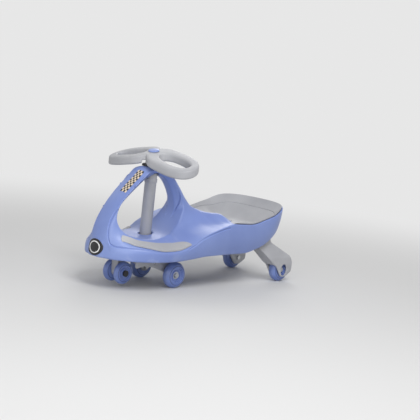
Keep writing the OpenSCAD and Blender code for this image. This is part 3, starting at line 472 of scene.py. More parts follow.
def top_z(x, y):
    """Height of the body's upper skin."""
    x, y = np.broadcast_arrays(np.asarray(x, float), np.asarray(y, float))
    rise = np.maximum(0, along(CREST, x) - deck_z(x, 0 * y))
    fin = np.maximum(np.minimum(along(FIN, x), FIN_SHARE * half_width(x)), 0.01)
    soft = np.maximum(np.minimum(along(SOFT, x), SOFT_SHARE * half_width(x)), 0.01)
    flank = np.maximum(0, np.abs(y) - fin) / soft
    crowned = rise * (1 - CREST_ROUND * np.minimum(1, np.abs(y) / fin) ** 2)
    thigh = ((x - THIGH_X) / THIGH_LONG) ** 2 + ((np.abs(y) - THIGH_Y) / THIGH_WIDE) ** 2
    return deck_z(x, y) + crowned / (1 + flank ** FLANK_POWER) + THIGH_RISE * np.exp(-thigh)


print("head of the arch:", float(top_z(0.0, 0.0)), "seat floor:", round(float(top_z(-380.0, 0.0)), 1))

# %% [markdown]
# ## The arch window
# The window is an egg in the side view. Its walls are bevelled, so it opens wider towards each flank, and on
# the rear leg the bevel runs out in a leaf shape. A cutter could be pushed through the arch, but its edges
# would be sharp. Instead the distance to the egg says how far a point is from the wall of the window.

# %% The egg of the window
HEAD_LOW = HEAD_Z - 32
WINDOW = [
    [fore(0.2), FLOOR_Z - 1], [fore(0.62), FLOOR_Z + 10], [fore(0.745), FLOOR_Z + 42],
    [fore(0.62), HEAD_Z - 110], [fore(0.31), HEAD_Z - 57], [fore(0.1), HEAD_LOW + 2],
    [aft(0.07), HEAD_LOW + 2], [aft(0.14), HEAD_Z - 60], [aft(0.185), HEAD_Z - 109],
    [aft(0.168), FLOOR_Z + 44], [aft(0.07), FLOOR_Z + 12]]
WINDOW_STEPS = 20
FRONT_FLARE_LOW, REAR_FLARE_LOW, FLARE_TOP, FLARE_RUN = FLOOR_Z + 8, FLOOR_Z + 45, HEAD_Z - 60, 1.4


def closed_curve(points, steps):
    """A smooth closed line through a few points."""
    p = np.array(points, float)
    a, b, c, d = np.roll(p, 1, 0), p, np.roll(p, -1, 0), np.roll(p, -2, 0)
    t = (np.arange(steps) / steps)[None, :, None]
    a, b, c, d = (q[:, None, :] for q in (a, b, c, d))
    line = 2 * b + (c - a) * t + (2 * a - 5 * b + 4 * c - d) * t ** 2 + (3 * b - a - 3 * c + d) * t ** 3
    return (0.5 * line).reshape(-1, 2)


window_line = closed_curve(WINDOW, WINDOW_STEPS)
flare_low = mix(REAR_FLARE_LOW, FRONT_FLARE_LOW, smooth(window_line[:, 0] / fore(0.5)))
flare_rise = (window_line[:, 1] - flare_low) / (FLARE_TOP - flare_low)
window_flare = WINDOW_FLARE * smooth(flare_rise * FLARE_RUN)
print("window line of", len(window_line), "points")

# %% Distance to the window's wall
WINDOW_MARGIN, BEVEL_SOFT, FAR_OFF = 60.0, 1.4, 1000.0


def line_distance(points, line):
    """Distance to a closed line, negative inside it, and the nearest of its corners."""
    start_at, end_at = line, np.roll(line, -1, 0)
    run = end_at - start_at
    nearest = np.full(len(points), 1e9)
    corner = np.zeros(len(points), int)
    inside = np.zeros(len(points), bool)
    for k in range(len(line)):
        off = points - start_at[k]
        t = np.clip(off @ run[k] / (run[k] @ run[k]), 0, 1)
        gap = np.hypot(*(off - t[:, None] * run[k]).T)
        closer = gap < nearest
        nearest[closer] = gap[closer]
        corner[closer] = k
        spans = (start_at[k, 1] > points[:, 1]) != (end_at[k, 1] > points[:, 1])
        cross = start_at[k, 0] + run[k, 0] * (points[:, 1] - start_at[k, 1]) / (run[k, 1] or 1e-9)
        inside ^= spans & (points[:, 0] < cross)
    return np.where(inside, -nearest, nearest), corner


def window_distance(p):
    """Distance from the window's wall, negative in the open window."""
    far = np.full(len(p), FAR_OFF)
    low, high = window_line.min(0) - WINDOW_MARGIN, window_line.max(0) + WINDOW_MARGIN
    side = p[:, [0, 2]]
    near = np.all((side > low) & (side < high), axis=1)
    gap, corner = line_distance(side[near], window_line)
    out = np.abs(p[near, 1])
    reach = HEAD_HALF - WINDOW_HALF
    soft_step = 0.5 * (np.hypot(out - WINDOW_HALF, BEVEL_SOFT) + out - WINDOW_HALF)
    opened = np.minimum(soft_step / reach, 1.0) * window_flare[corner]
    far[near] = (gap - opened) / np.sqrt(1 + (window_flare[corner] / reach) ** 2 * (out > WINDOW_HALF))
    return far


print("middle of the window:", round(float(window_distance(np.array([[30.0, 0.0, 230.0]]))[0]), 1), "mm")

# %% [markdown]
# ## A body with soft edges
# A moulded shell has no sharp corner anywhere. Boolean cuts leave sharp edges that are hard to round, so
# the body is written as one distance field instead: the deck, the skirt, the lower edge, the window and the
# bore for the bush each give a distance, and a soft maximum joins them with a small radius. A grid of cells
# then finds the skin, and each point is pulled onto the exact surface.

# %% Distances from the skirt

def soft_max(first, second, radius):
    """The larger of two distances, with a rounded corner."""
    return np.maximum(first, second) + np.maximum(radius - np.abs(first - second), 0) ** 2 / (4 * radius)


def side_gauge(p):
    """1 on the skirt's outside, more beyond it."""
    x, y, z = p.T
    edge, low = along(EDGE, x), along(LOW, x)
    fall = np.clip((edge - z) / np.maximum(edge - low, 1.0), 0, 1)
    tuck = 1 - 2 * along(TUCK, x) / BODY_WIDE * fall ** 2
    half = np.where(x >= 0, WELL_WIDE, np.where(x >= TAIL_MID, 2 * half_width(x), BODY_WIDE)) / 2
    across = np.abs(y) / (half * tuck)
    ahead = np.where(x >= 0, x / (NOSE * OVER_ROUND), np.maximum(TAIL_MID - x, 0) / (TAIL_ROUND * OVER_ROUND))
    power = np.where(x >= 0, NOSE_POWER, TAIL_POWER)
    return (across ** power + ahead ** power) ** (1 / power)


def slopes(field, p, step):
    """A field's slope at each point."""
    return np.stack([(field(p + a) - field(p - a)) / (2 * step) for a in np.eye(3) * step], -1)


print("soft corner of two planes:", round(float(soft_max(0.0, 0.0, 4.0)), 2), "mm")

# %% [markdown]
# ## The crease of the foot well
# A crease runs down the front leg, round the front of the foot well and back along its outer edge. It could
# be cut in as a line alone, but on the car the skin inside it lies a little lower too. So the field has a
# small step that fades out away from the crease, and the line itself is pressed in later.

# %% Step inside the crease
CREASE_DEEP, CREASE_EDGE, CREASE_FADE, CREASE_INSET = 2.0, 8.0, 44.0, 8.0
LEG_CREASE = [(0, 42), (60, 42), (100, 38), (126, 33.5), (146, 29), (159, 27), (167, 29)]
NOSE_CREASE = [(171, 36), (169.5, 46), (165.5, 56)]
round_well = np.linspace(160.0, 0.0, 17)
WELL_LINE = np.concatenate([
    LEG_CREASE, NOSE_CREASE, np.column_stack([round_well, half_width(round_well) - CREASE_INSET])])
WELL_START, WELL_RUN = 60.0, 60.0


def well_step(x, y):
    """How far the skin lies in behind the crease."""
    step = np.zeros(len(x))
    near = x > WELL_START
    inside = -line_distance(np.stack([x[near], np.abs(y[near])], -1), WELL_LINE)[0]
    edge = smooth(inside / CREASE_EDGE + 0.5)
    step[near] = CREASE_DEEP * edge * (1 - smooth((inside - CREASE_EDGE) / CREASE_FADE))
    return step * smooth((x - WELL_START) / WELL_RUN)


print("crease of", len(WELL_LINE), "points")

# %% [markdown]
# ## The whole body as one field
# Deck, skirt, window and bore are joined here. At the very tip of the nose the deck's curves run together, so
# the deck is held there at its height a little further back, and the skirt alone rounds the tip.

# %% Fields of the body
BUSH_BORE, TIP = 21.3, 8.0
EDGE_SOFT, NOSE_SOFT, WINDOW_SOFT, LOW_SOFT, BORE_SOFT = 3.5, 30.0, 3.0, 3.0, 1.5
NOSE_SOFT_START, NOSE_SOFT_RUN = 60.0, 110.0
BUSH_SEAT_R, BUSH_SEAT_RUN, BUSH_SEAT_RISE = 30.0, 12.0, 4.5
HALF_STEP = 0.5


def skin_field(p):
    """Distance to the body's outer skin, with no lower edge."""
    x, y, z = p.T
    held = np.minimum(x, NOSE - TIP)
    above = z - top_z(held, y)
    lean_x = top_z(held + HALF_STEP, y) - top_z(held - HALF_STEP, y)
    lean_y = top_z(held, y + HALF_STEP) - top_z(held, y - HALF_STEP)
    deck = above / np.sqrt(1 + lean_x ** 2 + lean_y ** 2) + well_step(x, y)
    steepness = np.sqrt((slopes(side_gauge, p, HALF_STEP) ** 2).sum(1))
    skirt = (side_gauge(p) - 1) / np.maximum(steepness, 1e-3)
    nose = smooth((x - NOSE_SOFT_START) / NOSE_SOFT_RUN)
    field = soft_max(deck, skirt, mix(EDGE_SOFT, NOSE_SOFT, nose))
    field = soft_max(field, -window_distance(p), WINDOW_SOFT)
    return soft_max(field, BUSH_BORE - np.hypot(x, y), BORE_SOFT)


def low_edge(p):
    """Distance below the lower edge, which steps up round the column's lower bush."""
    x, y, z = p.T
    round_bush = 1 - smooth((np.hypot(x, y) - BUSH_SEAT_R) / BUSH_SEAT_RUN)
    below = along(LOW, x) + BUSH_SEAT_RISE * round_bush - z
    return below / np.hypot(1, along(LOW, x + HALF_STEP) - along(LOW, x - HALF_STEP))


def body_field(p):
    """Distance to the body, with its lower edge."""
    return soft_max(skin_field(p), low_edge(p), LOW_SOFT)


print("seat floor to skin:", round(float(body_field(np.array([[-380.0, 0.0, 160.0]]))[0]), 1), "mm")

# %% [markdown]
# ## From a field to a skin
# Metaballs or a Remesh modifier could make a rounded body, but both blur it. So this is done here, with
# numpy. The car is the same on both sides, so a field is worked out for one half and mirrored. A coarse grid
# finds where the skin passes, and only the points near it are worked out on the fine grid. Each cell that the
# skin crosses gets one point, and the cells round a crossed edge share a face.

# %% A field near its skin
COARSE = 3
BAND = 5.0


def near_values(field, axes, cell):
    """A field on a grid: exact near its skin and rough elsewhere."""
    rough_axes = [a[::COARSE] for a in axes]
    rough_grid = np.stack(np.meshgrid(*rough_axes, indexing="ij"), -1)
    rough = field(rough_grid.reshape(-1, 3)).reshape(rough_grid.shape[:3])
    nearest = [np.minimum((np.arange(len(a)) + 1) // COARSE, len(b) - 1) for a, b in zip(axes, rough_axes)]
    value = rough[np.ix_(*nearest)]
    close = np.abs(value) < BAND * cell
    grid = np.stack(np.meshgrid(*axes, indexing="ij"), -1)
    value[close] = field(grid[close])
    return value


print("exact values within", BAND, "cells of the skin")

# %% A point in each crossed cell


def cell_points(value, axes, cell):
    """One point for each cell that the skin crosses, and the number of the point in each cell."""
    shape = value.shape
    total = np.zeros([n - 1 for n in shape] + [3])
    hits = np.zeros([n - 1 for n in shape])
    for a in np.ndindex(2, 2, 2):
        for axis in range(3):
            if a[axis]:
                continue
            b = tuple(v + (n == axis) for n, v in enumerate(a))
            va, vb = (value[tuple(slice(o, o + n - 1) for o, n in zip(c, shape))] for c in (a, b))
            crossed = (va < 0) != (vb < 0)
            share = np.where(crossed, va / np.where(crossed, va - vb, 1.0), 0.0)
            for n in range(3):
                total[..., n] += np.where(crossed, a[n] + share * (n == axis), 0.0)
            hits += crossed
    used = hits > 0
    number = np.full(used.shape, -1)
    number[used] = np.arange(used.sum())
    at = np.argwhere(used) + total[used] / hits[used][:, None]
    return np.array([a[0] for a in axes]) + at * cell, number


# A small ball tries the cells out.
ball_axes = [np.arange(-3.0, 3.5, 1.0)] * 3
ball = np.linalg.norm(np.stack(np.meshgrid(*ball_axes, indexing="ij"), -1), axis=-1) - 2.2
ball_points, ball_number = cell_points(ball, ball_axes, 1.0)
print("a coarse ball has", len(ball_points), "points")

# %% Faces between the points


def cell_faces(value, number):
    """A face round each grid edge that the skin crosses, turned outwards."""
    faces = []
    for axis in range(3):
        ahead = tuple(slice(1 if n == axis else 0, None) for n in range(3))
        behind = tuple(slice(0, -1 if n == axis else None) for n in range(3))
        first, second = value[behind] < 0, value[ahead] < 0
        at = np.argwhere(first != second)
        q, r = (n for n in range(3) if n != axis)
        ring = []
        for dq, dr in ((0, 0), (1, 0), (1, 1), (0, 1)):
            cells = at.copy()
            cells[:, q] -= dq
            cells[:, r] -= dr
            ring.append(number[tuple(cells.T)])
        quads = np.stack(ring, -1)
        turned = first[tuple(at.T)] == (axis == 1)
        quads[turned] = quads[turned, ::-1]
        faces.append(quads)
    return np.concatenate(faces)


print("the coarse ball has", len(cell_faces(ball, ball_number)), "faces")

# %% [markdown]
# ## Points pulled onto the skin
# The points of the cells lie near the skin but not on it, which would show as a faint step in every
# highlight. Smoothing would hide that and round the edges off too. Pulling each point along the field's slope
# until the distance is nothing keeps the edges where they are.

# %% Skin of a field
SLOPE_STEP, LEAST_SLOPE, LONGEST_MOVE = 0.3, 0.2, 2.0


def field_skin(field, low, high, cell, moves=3):
    """Points and faces of the skin of a field that is the same on both sides of y = 0."""
    half = np.arange(cell / 2, high[1] + cell, cell)
    axes = [np.arange(low[0], high[0] + cell, cell), half, np.arange(low[2], high[2] + cell, cell)]
    value = near_values(field, axes, cell)
    value = np.concatenate([value[:, ::-1], value], axis=1)
    axes[1] = np.concatenate([-half[::-1], half])
    points, number = cell_points(value, axes, cell)
    faces = cell_faces(value, number)
    middle = len(half) - 1
    left, right = number[:, middle:], number[:, middle::-1]
    left, right = left[left >= 0], right[left >= 0]
    spot = points[left]
    slope = slopes(field, spot, SLOPE_STEP)
    slope /= np.maximum((slope ** 2).sum(1), LEAST_SLOPE)[:, None]
    for _ in range(moves):
        spot = spot - np.clip(field(spot)[:, None] * slope, -LONGEST_MOVE, LONGEST_MOVE)
    spot[left == right, 1] = 0.0
    points[right] = spot * (1, -1, 1)
    points[left] = spot
    return points, faces


print("points move by at most", LONGEST_MOVE, "mm at a time")

# %% Points moved onto a skin
LONGEST_DROP = 8.0


def dropped(points, axis, field, rounds=8, step=0.2):
    """Points moved along one axis onto the skin of a field."""
    way = np.zeros(3)
    way[axis] = 1.0
    spot = np.array(points, float)
    for _ in range(rounds):
        slope = (field(spot + way * step) - field(spot - way * step)) / (2 * step)
        spot[:, axis] -= np.clip(field(spot) / np.maximum(slope, LEAST_SLOPE), -LONGEST_DROP, LONGEST_DROP)
    return spot


def skin_normals(points, field):
    """The way out of a field's skin at each point."""
    slope = slopes(field, points, SLOPE_STEP)
    return slope / np.linalg.norm(slope, axis=1)[:, None]


def pulled(points, field, rounds):
    """Points moved straight onto the skin of a field."""
    for _ in range(rounds):
        points = points - field(points)[:, None] * skin_normals(points, field)
    return points


print("dropped points move by at most", LONGEST_DROP, "mm at a time")

# %% [markdown]
# ## Pieces that ride on the frame
# Every skin becomes a mesh with a finish, and rides on the body that carries it, so that it moves
# with its joint. Pieces made from flat faces get their edges rounded by a Bevel modifier, because no moulded
# or turned edge is a perfect corner.

# %% Making a piece
WELD_WITHIN = 0.00002
EDGE_ANGLE, SHEET_ANGLE = 40.0, 50.0


def make_piece(name, points, faces, finish, slot, body, sharp=None, turn=True):
    """A mesh in the frame, with its finish, that rides on a body. A closed mesh is turned outwards."""
    spots = to_frame(points)
    faces = [list(f) for f in faces]
    centred = spots - spots.mean(0)
    a, b, c = (centred[[f[k] for f in faces]] for k in range(3))
    if turn and (a * np.cross(b, c)).sum() < 0:
        faces = [f[::-1] for f in faces]
    mesh = bpy.data.meshes.new(name)
    mesh.from_pydata(spots.tolist(), [], faces)
    mesh.validate()
    mesh.materials.append(finish)
    piece = bpy.data.objects.new(name, mesh)
    bpy.context.scene.collection.objects.link(piece)
    mesh.shade_smooth()
    if sharp:
        mesh.set_sharp_from_angle(angle=math.radians(sharp))
    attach(piece, body)
    return piece


def soften(piece, width, angle=35.0, segments=3):
    """Rounds a piece's sharp edges by a width in metres."""
    joined = piece.modifiers.new("joined", "WELD")
    joined.merge_threshold = WELD_WITHIN
    bevel = piece.modifiers.new("soft edges", "BEVEL")
    bevel.width = width
    bevel.segments = segments
    bevel.limit_method = "ANGLE"
    bevel.angle_limit = math.radians(angle)
    bevel.harden_normals = False


print("pieces weld points within", WELD_WITHIN, "m")

# %% [markdown]
# ## Style lines
# Three lines are pressed into the shell: one round the leaf on the rear leg, one along the rim, and one round
# the foot well. They could be drawn in the finish, but a real groove catches the light from every side. Each
# line is laid on the skin here. The outer edge of the window's bevel on the front leg is found as well, only
# to get finer faces.

# %% Points along a line
LINE_STEP = 0.5


def on_deck(plan):
    """Plan points dropped onto the skin from above."""
    plan = np.asarray(plan, float)
    return dropped(np.column_stack([plan, top_z(plan[:, 0], plan[:, 1])]), 2, skin_field)


def dense(line):
    """A line with points close together."""
    gaps = np.linalg.norm(np.diff(line, axis=0), axis=1)
    reach = np.concatenate([[0.0], np.cumsum(gaps)])
    at = np.arange(0.0, reach[-1], LINE_STEP)
    return np.column_stack([np.interp(at, reach, line[:, k]) for k in range(3)])


print("a point every", LINE_STEP, "mm along a line")

# %% Leaf and bevel on the window's wall
LEG_SPLIT = 8.0
LEAF_SHARE, LEAF_START, BEVEL_START, BEVEL_BEYOND, BEVEL_STEPS = 0.62, 0.3, 0.4, 24.0, 260
window_way = np.roll(window_line, -1, 0) - np.roll(window_line, 1, 0)
window_way /= np.linalg.norm(window_way, axis=1)[:, None]
window_out = np.column_stack([window_way[:, 1], -window_way[:, 0]])
front_leg = window_line[:, 0] > LEG_SPLIT


def leaf():
    """The leaf on the rear leg: a line on the window's bevel, at a share of the way out."""
    chosen = (window_flare > LEAF_START) & ~front_leg
    flare = window_flare[chosen]
    share = LEAF_SHARE * flare / WINDOW_FLARE
    side = window_line[chosen] + (share * flare)[:, None] * window_out[chosen]
    line = np.column_stack([side[:, 0], WINDOW_HALF + share * (HEAD_HALF - WINDOW_HALF), side[:, 1]])
    return pulled(line, skin_field, 3)


def front_bevel_edge():
    """The outer edge of the window's bevel on the front leg, where it comes out of the flank."""
    chosen = (window_flare > BEVEL_START) & front_leg
    outs = np.linspace(WINDOW_HALF, HEAD_HALF + BEVEL_BEYOND, BEVEL_STEPS)
    share = np.minimum((outs - WINDOW_HALF) / (HEAD_HALF - WINDOW_HALF), 1.0)
    edge = []
    for corner, normal, flare in zip(window_line[chosen], window_out[chosen], window_flare[chosen]):
        spots = corner + (share * flare)[:, None] * normal
        open_air = spots[:, 1] > top_z(spots[:, 0], outs)
        if open_air.any():
            k = int(np.argmax(open_air))
            edge.append((spots[k, 0], outs[k], spots[k, 1]))
    return np.array(edge)


leaf_line, bevel_line = leaf(), front_bevel_edge()
print("leaf of", len(leaf_line), "points, bevel of", len(bevel_line), "points")

# %% Style lines
RIM_LINE_X = np.linspace(-46.0, -196.0, 60)
RIM_LINE_DROP = 3.0
WELL_SHOWN = slice(4, 19)
well_line = on_deck(dense(np.pad(WELL_LINE[WELL_SHOWN], ((0, 0), (0, 1))))[:, :2])
rim_line = np.column_stack([RIM_LINE_X, half_width(RIM_LINE_X), along(EDGE, RIM_LINE_X) - RIM_LINE_DROP])
rim_line = pulled(rim_line, skin_field, 4)
# Each line has the depth and half the width of its groove, in millimetres.
style_lines = [
    (well_line, 2.8, 1.6), (rim_line, 3.2, 1.5), (leaf_line, 3.0, 1.5), (bevel_line, 0.0, 1.0)]
print("style lines:", [len(line) for line, deep, wide in style_lines])

# %% [markdown]
# ## Pressing the lines in
# The cells of the shell are wider than a groove. Smaller cells everywhere would make a heavy mesh, so only
# the faces along the lines are split, pulled onto the exact skin again, and then pressed in.

# %% Fine faces along the lines
FINE_BAND, FINE_CUTS, LONGEST_PULL = 6.0, 3, 1.5
ON_MIDDLE = 0.01


def line_gaps(points, line):
    """Distance from points to a line."""
    spots = dense(line)
    tree = kdtree.KDTree(len(spots))
    for k, spot in enumerate(spots):
        tree.insert(spot, k)
    tree.balance()
    return np.array([tree.find(p)[2] for p in points])


def pressed(points, faces):
    """The shell with fine faces along its style lines, and the lines pressed in."""
    work = bmesh.new()
    corners = [work.verts.new(p) for p in points]
    for f in faces:
        work.faces.new([corners[k] for k in f])
    work.verts.index_update()
    gap = np.min([line_gaps(points, line) for line, deep, wide in style_lines], axis=0)
    close = [e for e in work.edges if min(gap[v.index] for v in e.verts) < FINE_BAND]
    bmesh.ops.subdivide_edges(work, edges=close, cuts=FINE_CUTS, use_grid_fill=True)
    work.verts.index_update()
    spots = np.array([v.co[:] for v in work.verts])
    made = [[v.index for v in f.verts] for f in work.faces]
    work.free()
    gaps = [line_gaps(spots, line) for line, deep, wide in style_lines]
    fine = np.min(gaps, axis=0) < 2 * FINE_BAND
    middle = np.abs(spots[:, 1]) < ON_MIDDLE
    outward = np.zeros(spots.shape)
    for _ in range(4):
        outward[fine] = skin_normals(spots[fine], body_field)
        move = np.clip(body_field(spots[fine]), -LONGEST_PULL, LONGEST_PULL)
        spots[fine] -= outward[fine] * move[:, None]
    for gap, (line, deep, wide) in zip(gaps, style_lines):
        spots -= outward * (deep * np.exp(-(gap / wide) ** 2))[:, None]
    spots[middle, 1] = 0.0
    return spots, made


print("fine faces within", FINE_BAND, "mm of a line")

# %% [markdown]
# ## Body shell
# The shell is open below, so the faces of its lower cut are left out, apart from a narrow lip whose inner
# edge is moved to an even width. The style lines could be laid on both sides, at twice the work. Instead only
# the left half is kept, a Mirror modifier makes the right half with the same lines, and a Solidify modifier
# gives the wall its thickness.

# %% Left half with an open underside
BODY_CELL, LIP_WIDE, LIP_RISE = 3.4, 6.0, 1.0
BODY_LOW, BODY_HIGH = (-490.5, 0.0, 85.0), (192.0, 158.5, 352.0)
LIP_MOVE = 3.0
body_points, body_faces = field_skin(body_field, BODY_LOW, BODY_HIGH, BODY_CELL)
body_faces = body_faces[body_points[body_faces, 1].min(1) > -0.001]
middles = body_points[body_faces].mean(1)
deep_inside = skin_field(middles) < -LIP_WIDE
kept = body_faces[~(deep_inside & (low_edge(middles) > -LIP_RISE))]
used_points, kept = np.unique(kept, return_inverse=True)
body_points, kept = body_points[used_points], kept.reshape(-1, 4)
pairs = np.sort(np.stack([kept, np.roll(kept, -1, 1)], -1).reshape(-1, 2), 1)
edges, uses = np.unique(pairs, axis=0, return_counts=True)
rim_points = np.unique(edges[uses == 1])
rim_points = rim_points[body_points[rim_points, 1] > ON_MIDDLE]
for _ in range(3):
    spot = body_points[rim_points]
    slope = slopes(skin_field, spot, HALF_STEP)[:, :2]
    gap = (skin_field(spot) + LIP_WIDE) / np.maximum((slope ** 2).sum(1), LEAST_SLOPE)
    spot[:, :2] -= np.clip(gap[:, None] * slope, -LIP_MOVE, LIP_MOVE)
    body_points[rim_points] = spot
print("left half:", len(kept), "faces,", len(rim_points), "points along the lip")

# %% Body shell
SHELL_WALL, MIDDLE_WELD = 0.0028, 0.00005
body_points, kept = pressed(body_points, kept)
shell = make_piece("shell", body_points, kept, blue_plastic, "blue_plastic", "chassis", None, False)
other_half = shell.modifiers.new("right half", "MIRROR")
other_half.use_axis = (False, True, False)
other_half.merge_threshold = MIDDLE_WELD
wall = shell.modifiers.new("wall", "SOLIDIFY")
wall.thickness = SHELL_WALL
wall.offset = -1.0
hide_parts("body_shell")
print("shell:", len(body_points), "points,", len(kept), "faces in the left half")

# %% [markdown]
# ## Sheets on the deck
# The seat insert and the foot pads are thin mouldings that follow the deck. A Shrinkwrap modifier could lay a
# flat sheet on it, but the sheet's edges would wander. So a grid of points in plan is lifted to the deck
# twice, for the upper and the lower face, and walls close the border between them.

# %% A closed sheet from a grid
LEAST_THICK = 0.4


def sheet_faces(rows, columns, closed_first=False):
    """Faces of a closed sheet whose upper and lower grids have these rows and columns.
    A first row that lies double, side on side, needs no wall."""
    count = rows * columns
    at = np.arange(count).reshape(rows, columns)
    top = np.stack([at[:-1, :-1], at[:-1, 1:], at[1:, 1:], at[1:, :-1]], -1).reshape(-1, 4)
    low = top[:, ::-1] + count
    rim = np.concatenate([at[0, :-1], at[:-1, -1], at[-1, :0:-1], at[:0:-1, 0]])
    following = np.roll(rim, -1)
    walls = np.stack([rim, rim + count, following + count, following], -1)
    first_wall = columns - 1 if closed_first else 0
    return np.concatenate([top, low, walls[first_wall:]])


def sheet_points(plan, heights, gap, thick, deck=None):
    """Points of a sheet over the deck, or over given heights: its upper grid, then its lower one."""
    flat = plan.reshape(-1, 2)
    if deck is None:
        deck = top_z(flat[:, 0], flat[:, 1]) - well_step(flat[:, 0], flat[:, 1])
    upper = np.column_stack([flat, deck + gap + thick + heights.ravel()])
    lower = np.column_stack([flat, np.minimum(deck + gap, upper[:, 2] - LEAST_THICK)])
    return np.concatenate([upper, lower])


print("a 3 by 4 sheet has", len(sheet_faces(3, 4)), "faces")

# %% [markdown]
# ## Seat insert
# The insert is a bucket: a nearly flat floor, a wall that climbs to the tail, and a crease between them. On a
# square grid the crease would run through the faces in steps. So the grid follows the bucket itself: each
# ring keeps one share of the way from the middle to the rim, and runs from the left end of the tongue round
# the tail to the right end. The crease then falls along one ring.

# %% Rings of the seat
SEAT_GAP, SEAT_THICK, SEAT_INSET = 2.2, 3.5, 4.0
TONGUE_END, SEAT_FRONT, TONGUE_POWER = aft(0.605), aft(0.4), 2.2
SEAT_HALF = BODY_WIDE / 2 - SEAT_INSET
RIM_SHARE = 1 - SEAT_INSET / (BODY_WIDE / 2)
ROUND_STEPS, STRAIGHT_STEPS = 44, 26


def seat_ring(share):
    """Plan points of one ring, from the left end of the tongue round the tail, with a share for each."""
    turn = np.linspace(0.0, math.pi, 2 * ROUND_STEPS + 1)
    wide = np.sign(np.cos(turn)) * np.abs(np.cos(turn)) ** (2 / TAIL_POWER)
    deep = np.sin(turn) ** (2 / TAIL_POWER)
    mid = share[STRAIGHT_STEPS:-STRAIGHT_STEPS]
    tail = np.column_stack([TAIL_MID - mid * TAIL_ROUND * OVER_ROUND * deep, mid * BODY_WIDE / 2 * wide])
    ahead = np.linspace(0.0, 1.0, STRAIGHT_STEPS + 1)[1:]
    side_share = share[:STRAIGHT_STEPS][::-1]
    out = side_share * BODY_WIDE / 2
    for _ in range(4):
        end = mix(TONGUE_END, SEAT_FRONT, np.minimum(out / SEAT_HALF, 1) ** TONGUE_POWER)
        x = mix(TAIL_MID, end, ahead)
        out = side_share * half_width(x)
    left = np.column_stack([x, out])
    return np.concatenate([left[::-1], tail, left * (1, -1)])


around = np.abs(np.linspace(-1, 1, 2 * (ROUND_STEPS + STRAIGHT_STEPS) + 1))
print("rings of", len(around), "points")

# %% Seat insert
CREASE_AT, CREASE_TAIL, CREASE_FRONT, GROOVE_DEEP, GROOVE_WIDE = 0.62, 0.79, 0.93, 3.0, 0.006
TIP_BACK, TIP_DROP = -245.0, 6.4
EDGE_SINK, EDGE_POINTS = 2.6, 5
SEAT_EDGE_ROUND = 0.0011
# Rings lie close together at the groove: each run has its first level, its last and its count.
RING_RUNS = [(0.0, 0.54, 16), (0.56, 0.59, 4), (0.595, 0.645, 26), (0.65, 1.0, 18)]
levels = np.concatenate([np.linspace(*run) for run in RING_RUNS])
crease = mix(CREASE_TAIL, CREASE_FRONT, smooth(around))
edge_sink = smooth(1 - (len(around) // 2) * (1 - around) / EDGE_POINTS)
seat_plan, seat_lift = [], []
for level_share in levels:
    inner = crease * level_share / CREASE_AT
    outer = mix(crease, RIM_SHARE, (level_share - CREASE_AT) / (1 - CREASE_AT))
    seat_plan.append(seat_ring(np.where(level_share < CREASE_AT, inner, outer)))
    groove = GROOVE_DEEP * math.exp(-((level_share - CREASE_AT) / GROOVE_WIDE) ** 2)
    tip = smooth((seat_plan[-1][:, 0] - TIP_BACK) / (SEAT_FRONT - TIP_BACK))
    seat_lift.append(-groove - TIP_DROP * tip - EDGE_SINK * edge_sink)
seat_plan, seat_lift = np.array(seat_plan), np.array(seat_lift)
seat = make_piece("seat_insert", sheet_points(seat_plan, seat_lift, SEAT_GAP, SEAT_THICK),
                  sheet_faces(*seat_plan.shape[:2], True), seat_finish, "grey_plastic", "chassis",
                  SHEET_ANGLE)
soften(seat, SEAT_EDGE_ROUND, SHEET_ANGLE)
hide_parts("seat_pan")
print("seat insert:", len(levels), "rings of", len(around), "points")

# %% [markdown]
# ## Foot pads
# A pad fills each foot well. Its inner edge is a long S beside the arch and its outer edge follows the rim.
# It could be cut from the deck's own faces, but then it would have the deck's cells along its edges. So it is
# a sheet between two curves, and at the nose it sinks a little so that its tip meets the round skin.

# %% Foot pads
PAD_GAP, PAD_THICK, PAD_INSET, NOSE_INSET, PAD_SINK = 1.3, 4.0, 4.0, 16.0, 3.0
PAD_REAR, PAD_FRONT, PAD_TIP, PAD_TIP_WIDE = aft(0.112), fore(0.78), fore(0.62), 6.0
INSET_START, INSET_RUN, PAD_EDGE_ROUND = 40.0, 70.0, 0.0014
PAD_IN = [
    [aft(0.112), 133], [aft(0.105), 122], [aft(0.085), 112], [aft(0.04), 105], [fore(0.05), 101],
    [fore(0.25), 96], [fore(0.5), 84], [fore(0.68), 64], [fore(0.75), 58], [fore(0.78), 62]]
PAD_ROWS, PAD_COLUMNS = 70, 18
pad_x = mix(PAD_FRONT, PAD_REAR, (1 - np.cos(np.linspace(0, math.pi, PAD_ROWS))) / 2)
pad_in = along(PAD_IN, pad_x)
run_in = np.maximum(0, (pad_x - PAD_TIP) / (PAD_FRONT - PAD_TIP))
pad_inset = mix(PAD_INSET, NOSE_INSET, smooth((pad_x - INSET_START) / INSET_RUN))
pad_out = mix(half_width(pad_x) - pad_inset, float(along(PAD_IN, PAD_FRONT)) + PAD_TIP_WIDE, run_in ** 2)
across = np.linspace(0, 1, PAD_COLUMNS)[None, :]
pad_plan = np.stack([np.broadcast_to(pad_x[:, None], (PAD_ROWS, PAD_COLUMNS)),
                     mix(pad_in[:, None], pad_out[:, None], across)], -1)
pad_lift = -PAD_SINK * smooth((pad_plan[..., 0] - PAD_TIP) / (PAD_FRONT - PAD_TIP))
pad_deck = on_deck(pad_plan.reshape(-1, 2))[:, 2]
for side_name, side in (("left", 1), ("right", -1)):
    pad_points = sheet_points(pad_plan, pad_lift, PAD_GAP, PAD_THICK, pad_deck) * (1, side, 1)
    pad = make_piece("pad_" + side_name, pad_points, sheet_faces(*pad_plan.shape[:2]), pad_finish,
                     "grey_plastic", "chassis", SHEET_ANGLE)
    soften(pad, PAD_EDGE_ROUND, SHEET_ANGLE)
    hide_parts("foot_pad_" + side_name)
print("pads of", PAD_ROWS, "by", PAD_COLUMNS, "points")

